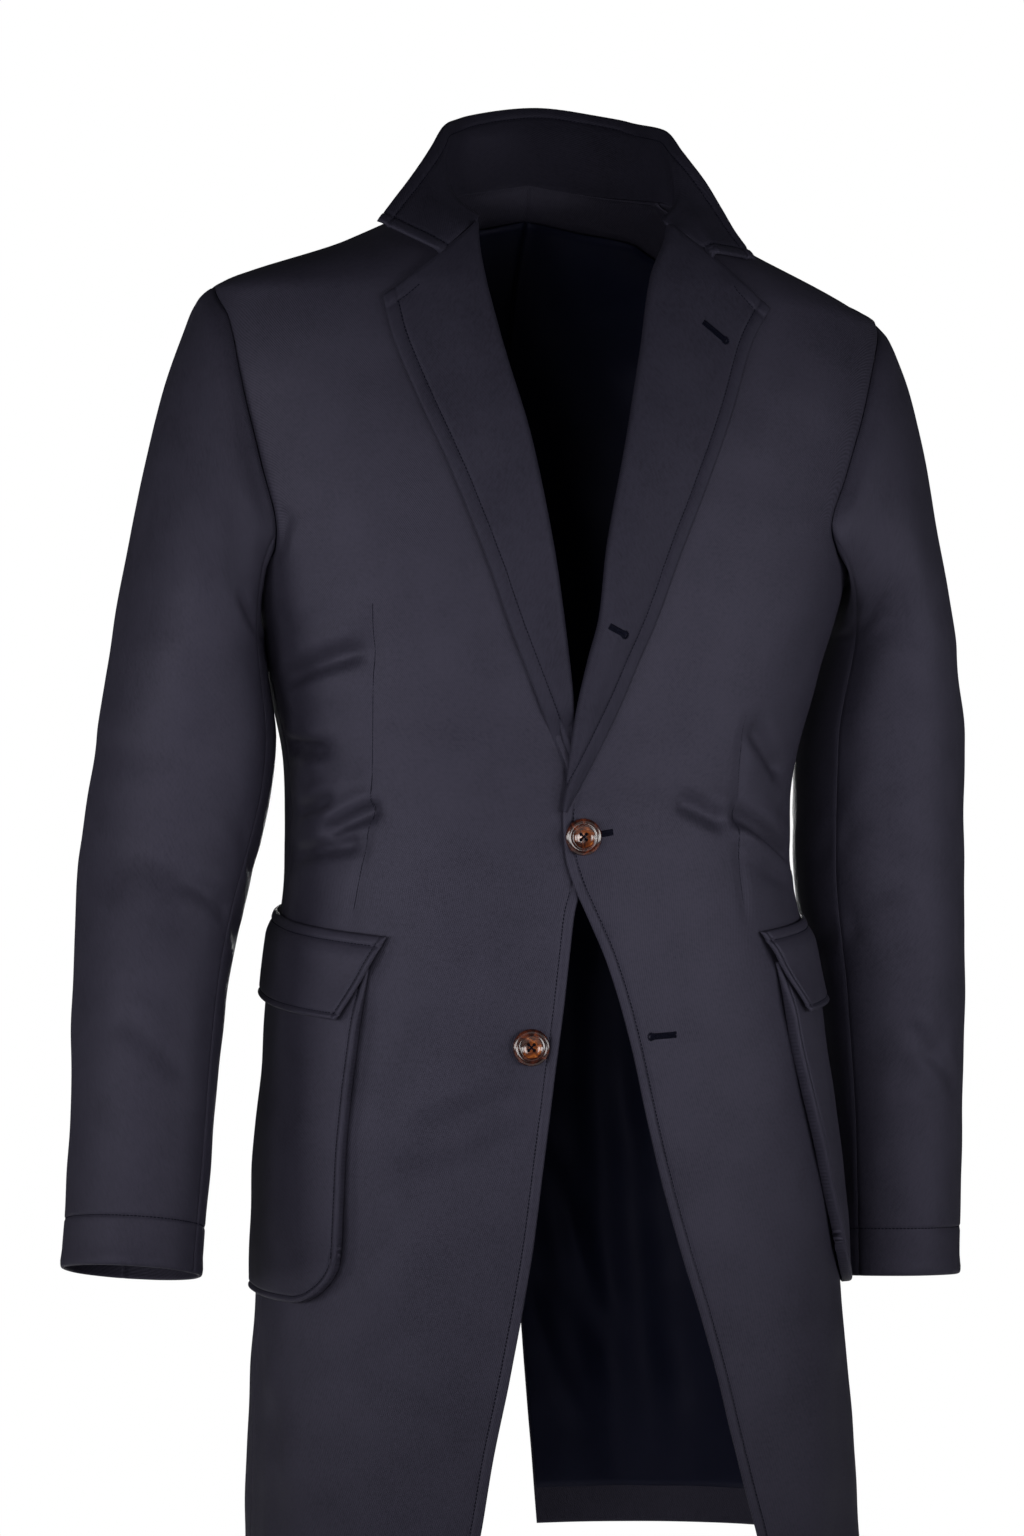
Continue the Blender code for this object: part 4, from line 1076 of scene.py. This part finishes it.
def make_lining(side, word):
    """Thin lining inside a back, short of the hem, the armhole and the neck, with long soft creases."""
    low_z = np.linspace(HEM_Z + LINING_ABOVE_HEM, ARMPIT_Z, LINING_LOW_ROWS)
    shares = np.linspace(0, 1, LINING_HIGH_ROWS)
    u = np.linspace(0, 1, LINING_COLUMNS)
    at = back_grid(side, low_z, shares, u)[:LINING_KEPT_ROWS, :LINING_KEPT_COLUMNS]
    at[:, 0, 0] -= side * LINING_EDGE_TURN
    phi, z = at[..., 0], at[..., 1]
    base = off_body(phi, z, np.full(phi.shape, -(CLOTH + SEAM_GAP)))
    creases = strokes(LINING_CREASES, np.degrees(np.abs(phi)), z + 0.01 * side, BODY_ARC, LINING_LIP)
    relief = LINING_RELIEF + waves(phi * FOLD_RADIUS, z, 2.1) * 1.5 - creases
    cloth("lining_" + word, base, body_normal(phi, z), relief, (base[:, 0], base[0]), (), thick=LINING,
          looks=(LINING_PAINTED_SHADE_LOOK,))


def sleeve_relief(psi, s, side, node_phase):
    turn = np.mod(np.degrees(psi), 360)
    down = np.where(s < 1, s * HEAD_RUN, HEAD_RUN + (s - 1) * ARM_RUN)
    table = []
    rows = SLEEVE_CREASES + ((SLEEVE_CREASE_LEFT,) if side > 0 else ())
    for a0, s0, a1, s1, width, depth in rows:
        ends = [v * HEAD_RUN if v < 1 else HEAD_RUN + (v - 1) * ARM_RUN for v in (s0, s1)]
        table.append((a0, ends[0], a1, ends[1], width, depth))
    creases = strokes(table, turn, down, SLEEVE_ARC, CREASE_LIP)
    return waves(psi * SLEEVE_RADIUS, down, node_phase) - creases


def make_sleeves():
    forearm = math.pi * (1 - FOREARM_SEAM_SHARE)
    hind = math.pi * (1 + HIND_SEAM_SHARE)
    head = ticks(*RUNS["head"], SEWN, PLAIN)
    arm = 1 + ticks(*RUNS["arm"], PLAIN, CUFF)
    steps = np.concatenate((head[:-1], arm))
    for side, word, table in ((RIGHT, "right", SLEEVE_RIGHT), (LEFT, "left", SLEEVE_LEFT)):
        for part, start, end in (("top", hind - 2 * math.pi, forearm), ("under", forearm, hind)):
            node = "sleeve_%s_%s" % (part, word)
            around = start + (end - start) * ticks(*RUNS[part], SEWN, SEWN)
            s, psi = np.meshgrid(steps, around, indexing="ij")
            base = sleeve(table, side, psi, s)
            like = np.array((side, 0, 0)) if part == "top" else np.array((-side, 0, 0))
            out = grid_normal(base, like)
            from_head = distance(base, [base[0]])
            from_cuff = distance(base, [base[-1]])
            near_head = np.exp(-((from_head - HEAD_FULL_AT) / HEAD_FULL_HALF) ** 2)
            fullness = HEAD_FULLNESS * near_head * ease((from_cuff - 0.1) / 0.1)
            relief = sleeve_relief(psi, s, side, 0.4 + side) + fullness
            piece = cloth(node, base, out, relief, (base[-1],), (base[:, 0], base[:, -1], base[0]),
                          ((base[-1], CUFF_STITCH, 1.0),), lined=from_cuff > CUFF_FACING)
            threads = Threads(node)
            threads.row(*inset(piece, base[-1], base, CUFF_STITCH, 1, True))
            threads.finish()


def make_lapels():
    for side, word, table in ((RIGHT, "right", LAPEL_RIGHT), (LEFT, "left", LAPEL_LEFT)):
        node = "lapel_" + word
        numbered = [(k,) + row for k, row in enumerate(table)]
        at = (len(table) - 1) * ticks(*RUNS["lapel_down"], FREE, PLAIN)
        roll_phi, roll_z, edge_phi, edge_z = (smooth(numbered, c, at)[:, None] for c in (1, 2, 3, 4))
        roll_phi, edge_phi = np.radians(roll_phi), np.radians(edge_phi)
        width = np.linalg.norm(body(edge_phi, edge_z) - body(roll_phi, roll_z), axis=-1)
        nose = np.minimum(LAPEL_NOSE, LAPEL_NOSE_SHARE * width)
        fade = ease(width / LAPEL_TAPER)
        front_edge = np.radians(smooth(EDGE_RIGHT if side < 0 else EDGE_LEFT, 1, roll_z))
        joined = np.clip((front_edge - roll_phi) / (edge_phi - roll_phi), nose / width + 0.02, 0.6)
        main = ticks(*RUNS["lapel_across"], PLAIN, FREE)[None]
        flat = nose / width + (1 - nose / width) * main
        top = CLOTH + smooth(LAPEL_ROLL, 1, flat) * fade
        bend = np.linspace(math.pi, 0, 15)[None, :-1]
        high, low = CLOTH + LAPEL_ROLL[0][1] * fade, -CLOTH
        round_share = nose * (1 - np.sin(bend)) / width
        round_lift = 0.5 * (high + low) + 0.5 * (high - low) * np.cos(bend)
        leg = np.linspace(1, 0, 5)[None, :-1]
        leg_share = nose / width + (joined - nose / width) * leg
        share = np.concatenate((leg_share, round_share, flat), axis=1)
        lift = np.concatenate((np.broadcast_to(low, leg_share.shape), round_lift, top), axis=1)
        phi = roll_phi + (edge_phi - roll_phi) * share
        z = roll_z + (edge_z - roll_z) * share
        if side > 0:
            lift = lift + overlap(phi)
        else:
            sink = ease((LAPEL_SINK_Z - z) / LAPEL_SINK_RUN)
            lift = lift * (1 - sink) - LAPEL_SINK * sink
        base = off_body(phi, z, lift)
        probe = (len(phi) // 2, -4)
        like = body_normal(phi[probe], z[probe])
        out = grid_normal(base, like)
        if np.dot(out[probe], like) < 0:
            out = -out
        first_flat = leg_share.shape[1] + round_share.shape[1]
        notch = first_flat + int(LAPEL_NOTCH_SHARE * (base.shape[1] - first_flat))
        thick = np.minimum(CLOTH, 0.8 * nose) * np.ones(phi.shape)
        cover = waves(phi * FOLD_RADIUS, z, 1.1) * 0.6 * (share > 0.1)
        free = (base[:, -1], base[0, notch:])
        fading = ease((np.arange(base.shape[1]) - notch) / (0.25 * (base.shape[1] - notch)))[None]
        stitched = ((base[:, -1], LAPEL_STITCH, 1.0), (base[0, notch:], LAPEL_STITCH, fading))
        # The lapel takes the bias look, whose darker tones are painted shade for a weaker sheen
        piece = cloth(node, base, out, cover, free, (base[0, :notch],), stitched, thick=thick,
                      looks=(BIAS_PAINTED_SHADE_LOOK,))
        threads = Threads(node)
        path, ways = inset(piece, base[:, -1], base, LAPEL_STITCH, 0, True)
        threads.row(path, ways)
        path, ways = inset(piece, base[0, notch:], base, LAPEL_STITCH, 1, False)
        near_top = distance(path, [base[0, notch:]]) < 1.2 * LAPEL_STITCH
        threads.row(path[near_top], ways[near_top])
        threads.finish()


def make_collar():
    last = len(COLLAR) - 1
    beyond = []
    for row in COLLAR[:-1]:
        beyond.append((360 - row[0],) + row[1:3] + (-row[3],) + row[4:6] + (-row[6],) + row[7:])
    numbered = [(k,) + row for k, row in enumerate(COLLAR + tuple(reversed(beyond)))]
    at = last * (2 * ticks(*RUNS["collar_round"], FREE, FREE) - 1)
    side = np.where(at < 0, -1.0, 1.0)
    station = last - np.abs(at)
    columns = [smooth(numbered, c, station) for c in range(1, 10)]
    turn = side * np.radians(columns[0])
    seam = off_body(turn, columns[1], columns[2])
    drop = np.where(side > 0, COLLAR_LEFT_DROP, 0) * np.clip(1 - station / 4, 0, 1)
    shift = np.where(side > 0, smooth(COLLAR_SHIFT, 2, station), smooth(COLLAR_SHIFT, 1, station))
    crease = np.stack((side * columns[3] + shift, columns[4], columns[5]), axis=-1)
    edge = np.stack((side * columns[6] + shift, columns[7], columns[8] - drop), axis=-1)
    grid = []
    for t in 2 * ticks(*RUNS["collar_up"], SEWN, FREE):
        straight = seam + (crease - seam) * t if t <= 1 else crease + (edge - crease) * (t - 1)
        bend = max(0.0, 1 - abs(t - 1) / (2 * COLLAR_BEND))
        chord = 0.5 * (seam + edge) - crease
        grid.append(straight + chord * (0.5 * COLLAR_BEND * bend ** 2))
    base = np.array(grid)
    out = grid_normal(base, np.array((0.0, -1.0, 0.0)))
    middle = base.shape[1] // 2
    if out[2, middle, 1] > 0:
        out = -out
    base = base + COLLAR_CLOTH * out
    ends = (base[:, 0], base[:, -1])
    relief = waves(lengths(base[-1])[None] + np.zeros(base.shape[:2]), base[..., 2], 0.2) * 0.8
    # The collar takes the bias look, whose darker tones are painted shade for a weaker sheen
    piece = cloth("collar", base, out, relief, ends + (base[-1],), (base[0],),
                  [(line, COLLAR_STITCH, 1.0) for line in ends + (base[-1],)],
                  thick=COLLAR_CLOTH,
                  looks=(BIAS_PAINTED_SHADE_LOOK,))
    threads = Threads("collar")
    threads.row(*inset(piece, base[-1], base, COLLAR_STITCH, 1, True))
    threads.row(*inset(piece, base[:, 0], base, COLLAR_STITCH, 0, False))
    threads.row(*inset(piece, base[:, -1], base, COLLAR_STITCH, 0, True))
    threads.finish()


def pocket_front(side, z):
    table = POCKET_FRONT_RIGHT if side < 0 else POCKET_FRONT_LEFT
    return np.radians(np.abs(smooth(table, 1, z)))


def flap_top(phi):
    return FLAP_TOP_Z + FLAP_RISE * (np.degrees(phi) - FLAP_FRONT_DEG[0]) / FLAP_RISE_DEG


def bag_stand(phi, z, side):
    """How far the bag of a pocket stands off the body: most at its front edge, below the flap's top."""
    front = pocket_front(side, z)
    across = np.clip((phi - front) / (math.radians(POCKET_BACK_DEG) - front), 0, 1)
    down = (FLAP_TOP_Z - BAG_BELOW_FLAP_TOP - z) / POCKET_STAND_RUN
    return POCKET_STAND * ease(down) * (1 - ease(across / POCKET_STAND_SHARE))


def sew_sides(node, piece, base):
    """Threads with a row inside the front, lower and back edges of a piece."""
    threads = Threads(node)
    threads.row(*inset(piece, base[:, 0], base, POCKET_STITCH, 0, False))
    threads.row(*inset(piece, base[-1], base, POCKET_STITCH, 1, True))
    threads.row(*inset(piece, base[:, -1], base, POCKET_STITCH, 0, True))
    return threads


def make_pockets():
    back = math.radians(POCKET_BACK_DEG)
    for side, word in ((RIGHT, "right"), (LEFT, "left")):
        across = ticks(*RUNS["pocket_across"], FREE, FREE)
        u, v = np.meshgrid(across, ticks(*RUNS["pocket_down"], PLAIN, FREE))
        top_z = FLAP_TOP_Z - BAG_BELOW_FLAP_TOP
        z = top_z + v * (POCKET_BOTTOM_Z - top_z)
        rounding = np.clip(1 - u * RUNS["pocket_across"][0] / POCKET_CORNER, 0, 1)
        z = z + POCKET_CORNER * (1 - np.sqrt(1 - rounding ** 2)) * v
        phi = pocket_front(side, z) + (back - pocket_front(side, z)) * u
        puff = ease((v - 0.3) / 0.35) * np.sin(math.pi * u) * np.sin(math.pi * np.clip(v, 0, 1)) ** 0.5
        stand = bag_stand(phi, z, side)
        phi = side * phi
        base = off_body(phi, z, ON_TOP + CLOTH + POCKET_PUFF * puff + stand)
        sides = (base[:, 0], base[-1], base[:, -1])
        inside = distance(base, [base[:, 0], base[-1]]) - POCKET_WALL
        wall = stand * (1 - ease(inside / POCKET_WALL))
        stitched = [(line, POCKET_STITCH, 1.0) for line in sides]
        piece = cloth("pocket_" + word, base, body_normal(phi, z), waves(phi * FOLD_RADIUS, z, 3.0), sides,
                      stitched=stitched, deep=wall)
        sew_sides("pocket_" + word, piece, base).finish()

        u, v = np.meshgrid(ticks(*RUNS["flap_across"], FREE, FREE), ticks(*RUNS["flap_down"], FREE, FREE))
        front = np.radians(FLAP_FRONT_DEG[0] + (FLAP_FRONT_DEG[1] - FLAP_FRONT_DEG[0]) * v)
        phi = front + (back + FLAP_PAST_BAG - front) * u
        z = flap_top(phi) - v * FLAP_DROP
        lift = ON_TOP + CLOTH + (CLOTH + 1.1 * ON_TOP) * ease(v / FLAP_CLIMB) + FLAP_FLARE * v
        lift = lift + bag_stand(phi, z, side)
        phi = side * phi
        base = off_body(phi, z, lift)
        sides = (base[:, 0], base[-1], base[:, -1])
        stitched = [(line, POCKET_STITCH, 1.0) for line in sides] + [(base[0], FLAP_BAND_STITCH, 1.0)]
        piece = cloth("flap_" + word, base, body_normal(phi, z), waves(phi * FOLD_RADIUS, z, 4.0),
                      sides + (base[0],), stitched=stitched)
        threads = sew_sides("flap_" + word, piece, base)
        threads.row(*inset(piece, base[0], base, FLAP_BAND_STITCH, 1, False))
        threads.finish()


def make_buttonholes():
    """Worked buttonholes: a slit, a round eye at one end and close stitches all round."""
    for number, (node, eye_deg, eye_z, tail_deg, tail_z) in enumerate(BUTTONHOLES):
        piece = PIECES[node]
        phi, z = np.radians((eye_deg, tail_deg)), np.array((eye_z, tail_z))
        ends = body(phi, z) + HOLE_FROM_BODY * body_normal(phi, z)
        line = ends[0] + (ends[1] - ends[0]) * np.linspace(0, 1, HOLE_BARS)[:, None]
        line, out = piece.settle(line)
        run = unit(ends[1] - ends[0])
        threads = Threads("buttonhole_%d" % (number + 1))
        beside = unit(np.cross(out, run))
        for way in (-1, 1):
            centres = line + way * beside * HOLE_SIDE_OUT + out * HOLE_RISE
            threads.add(*capsules(centres, beside * way, out, *HOLE_SIDE_BAR))
        eye, eye_out = line[0], out[0]
        turn = (np.arange(HOLE_EYE_BARS) * 2 * math.pi / HOLE_EYE_BARS)[:, None]
        ahead = unit(run - np.dot(run, eye_out) * eye_out)
        spokes = np.cos(turn) * ahead + np.sin(turn) * beside[0]
        centres = eye + spokes * HOLE_EYE_OUT + eye_out * HOLE_RISE
        threads.add(*capsules(centres, spokes, np.tile(eye_out, (HOLE_EYE_BARS, 1)), *HOLE_EYE_BAR))
        slit, slit_out = line[1:-1:2], out[1:-1:2]
        centres = slit + slit_out * STITCH_RISE
        threads.add(*capsules(centres, np.tile(run, (len(slit), 1)), slit_out, *HOLE_SLIT_BAR))
        threads.finish()


def circle(x, y, radius, turns):
    return [(x + radius * math.cos(a), y + radius * math.sin(a)) for a in turns]


def make_button(node, phi_deg, z, lift):
    """Polished dished disc with four holes and crossed thread."""
    profile = list(BUTTON_FOOT)
    for a in np.radians(np.linspace(*BUTTON_RIM_DEG)):
        r = BUTTON_R - BUTTON_RIM_R + BUTTON_RIM_R * math.cos(a)
        profile.append((r, BUTTON_RIM_Z + BUTTON_RIM_HALF * math.sin(a)))
    for share, down in BUTTON_FACE:
        profile.append((share * BUTTON_R, BUTTON_T - down * BUTTON_DISH))
    segments = BUTTON_SIDES
    turn = np.arange(segments) * 2 * math.pi / segments
    points = [(0.0, 0.0, profile[0][1])]
    for r, h in profile[1:-1]:
        points += [(x, y, h) for x, y in circle(0.0, 0.0, r, turn)]
    points.append((0.0, 0.0, profile[-1][1]))
    rings = len(profile) - 2
    faces = []
    for k in range(segments):
        n = (k + 1) % segments
        faces.append((0, 1 + n, 1 + k))
        for ring in range(rings - 1):
            a = 1 + ring * segments
            faces.append((a + k, a + n, a + segments + n, a + segments + k))
        a = 1 + (rings - 1) * segments
        faces.append((a + k, a + n, len(points) - 1))
    mesh = bpy.data.meshes.new(node + "_horn")
    mesh.from_pydata(points, [], faces)
    mesh.update()
    disc = bpy.data.objects.new(node + "_horn", mesh)
    bpy.context.scene.collection.objects.link(disc)
    holes = circle(0.0, 0.0, BUTTON_HOLE_AT, math.pi / 4 + np.arange(4) * math.pi / 2)
    for x, y in holes:
        ring = circle(x, y, BUTTON_HOLE_R, np.arange(PUNCH_SIDES) * math.pi / 10)
        points = [(a, b, height) for height in PUNCH_Z for a, b in ring]
        low, high = range(PUNCH_SIDES), range(PUNCH_SIDES, 2 * PUNCH_SIDES)
        faces = [tuple(reversed(low)), tuple(high)]
        for k in low:
            n = (k + 1) % PUNCH_SIDES
            faces.append((k, n, PUNCH_SIDES + n, PUNCH_SIDES + k))
        punch_mesh = bpy.data.meshes.new("punch")
        punch_mesh.from_pydata(points, [], faces)
        punch = bpy.data.objects.new("punch", punch_mesh)
        bpy.context.scene.collection.objects.link(punch)
        cut = disc.modifiers.new("hole", "BOOLEAN")
        cut.operation = "DIFFERENCE"
        cut.object = punch
        bpy.context.view_layer.update()
        punched = disc.evaluated_get(bpy.context.evaluated_depsgraph_get())
        disc.data = bpy.data.meshes.new_from_object(punched)
        disc.modifiers.clear()
        bpy.data.objects.remove(punch)
    disc.data.materials.clear()
    disc.data.materials.append(HORN_LOOK)
    disc.data.materials.append(AMBER_LOOK)
    for face in disc.data.polygons:
        inside = math.hypot(face.center.x, face.center.y) < BUTTON_MIDDLE
        face.material_index = 1 if inside and face.center.z > 0.3 * BUTTON_T else 0
    phi, height = np.array(math.radians(phi_deg)), np.array(z)
    out = body_normal(phi, height)
    place = off_body(phi, height, np.array(lift))
    right = unit(np.cross(np.array((0.0, 0.0, 1.0)), out))
    up = np.cross(out, right)
    for vertex in disc.data.vertices:
        p = vertex.co
        vertex.co = place + right * p.x + up * p.y + out * p.z
    disc.data.shade_smooth()
    disc.data.set_sharp_from_angle(angle=math.radians(BUTTON_SHARP_DEG))
    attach(disc, "root")
    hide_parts(node)
    threads = Threads(node)
    top = BUTTON_T - 0.9 * BUTTON_DISH
    for (x0, y0), (x1, y1) in ((holes[0], holes[2]), (holes[1], holes[3])):
        for shift in (-BUTTON_THREAD_APART, BUTTON_THREAD_APART):
            centre = place + right * (0.5 * (x0 + x1) + shift) + up * 0.5 * (y0 + y1) + out * top
            way = right * (x1 - x0) + up * (y1 - y0)
            threads.add(*capsules(centre[None], way[None], out[None], *BUTTON_THREAD))
    threads.finish()


def add_area(name, place, aim, energy, size):
    light = bpy.data.lights.new(name, "AREA")
    light.shape = "RECTANGLE"
    light.size = size
    light.size_y = size
    light.energy = energy
    light.spread = math.radians(LIGHT_SPREAD_DEG)
    thing = bpy.data.objects.new(name, light)
    thing.location = place
    thing.rotation_euler = (Vector(aim) - Vector(place)).to_track_quat("-Z", "Y").to_euler()
    bpy.context.scene.collection.objects.link(thing)


def make_stage():
    scene = bpy.context.scene
    turn = math.radians(CAMERA_TURN_DEG)
    toward = Vector((math.sin(turn), -math.cos(turn), 0))
    right = Vector((math.cos(turn), math.sin(turn), 0))
    level = Vector((0, 0, CAMERA_Z))
    camera = bpy.data.objects.new("camera", bpy.data.cameras.new("camera"))
    camera.location = toward * CAMERA_DISTANCE + level
    aim = level + right * ((IMAGE_WIDTH / 2 - AXIS_PIXEL[0]) / PIXELS_PER_METRE)
    aim.z -= (IMAGE_HEIGHT / 2 - AXIS_PIXEL[1]) / PIXELS_PER_METRE
    camera.rotation_euler = (aim - camera.location).to_track_quat("-Z", "Y").to_euler()
    camera.data.sensor_fit = "VERTICAL"
    camera.data.sensor_height = SENSOR
    camera.data.lens = SENSOR * PIXELS_PER_METRE * CAMERA_DISTANCE / IMAGE_HEIGHT
    scene.collection.objects.link(camera)
    scene.camera = camera

    for name, turn_deg, distance_m, height, energy, size in LIGHTS:
        turn = math.radians(turn_deg)
        place = Vector((math.sin(turn) * distance_m, -math.cos(turn) * distance_m, height))
        add_area(name, place, Vector((0, 0, LIGHT_AIM_Z)), energy, size)

    add_area("floor_light", Vector((0, 0, FLOOR_Z + FLOOR_LIGHT_UP)), Vector((0, 0, FLOOR_Z)), FLOOR_LIGHT,
             FLOOR_LIGHT_SIZE)

    world = bpy.data.worlds.new("studio")
    world.use_nodes = True
    nodes, links = world.node_tree.nodes, world.node_tree.links
    dim = nodes["Background"]
    dim.inputs["Color"].default_value = (0.9, 0.93, 1.0, 1)
    dim.inputs["Strength"].default_value = WORLD_LIGHT
    white = nodes.new("ShaderNodeBackground")
    white.inputs["Color"].default_value = (1, 1, 1, 1)
    path = nodes.new("ShaderNodeLightPath")
    choose = nodes.new("ShaderNodeMixShader")
    links.new(path.outputs["Is Camera Ray"], choose.inputs["Fac"])
    links.new(dim.outputs["Background"], choose.inputs[1])
    links.new(white.outputs["Background"], choose.inputs[2])
    links.new(choose.outputs["Shader"], nodes["World Output"].inputs["Surface"])
    scene.world = world
    scene.view_settings.view_transform = "Standard"

    floor_mesh = bpy.data.meshes.new("floor")
    corners = ((-1, -1), (1, -1), (1, 1), (-1, 1))
    points = [(x * FLOOR_HALF, y * FLOOR_HALF, FLOOR_Z) for x, y in corners]
    floor_mesh.from_pydata(points, [], [(0, 1, 2, 3)])
    floor_mesh.materials.append(stage_look())
    floor = bpy.data.objects.new("floor", floor_mesh)
    scene.collection.objects.link(floor)


make_stage()
make_bodies()
make_sleeves()
make_lapels()
make_collar()
make_pockets()
make_buttonholes()
make_button("button_top", BUTTON_TOP[0], BUTTON_TOP[1], OVERLAP_LIFT + BUTTON_SHANK)
make_button("button_lower", BUTTON_LOWER[0], BUTTON_LOWER[1], BUTTON_SHANK)
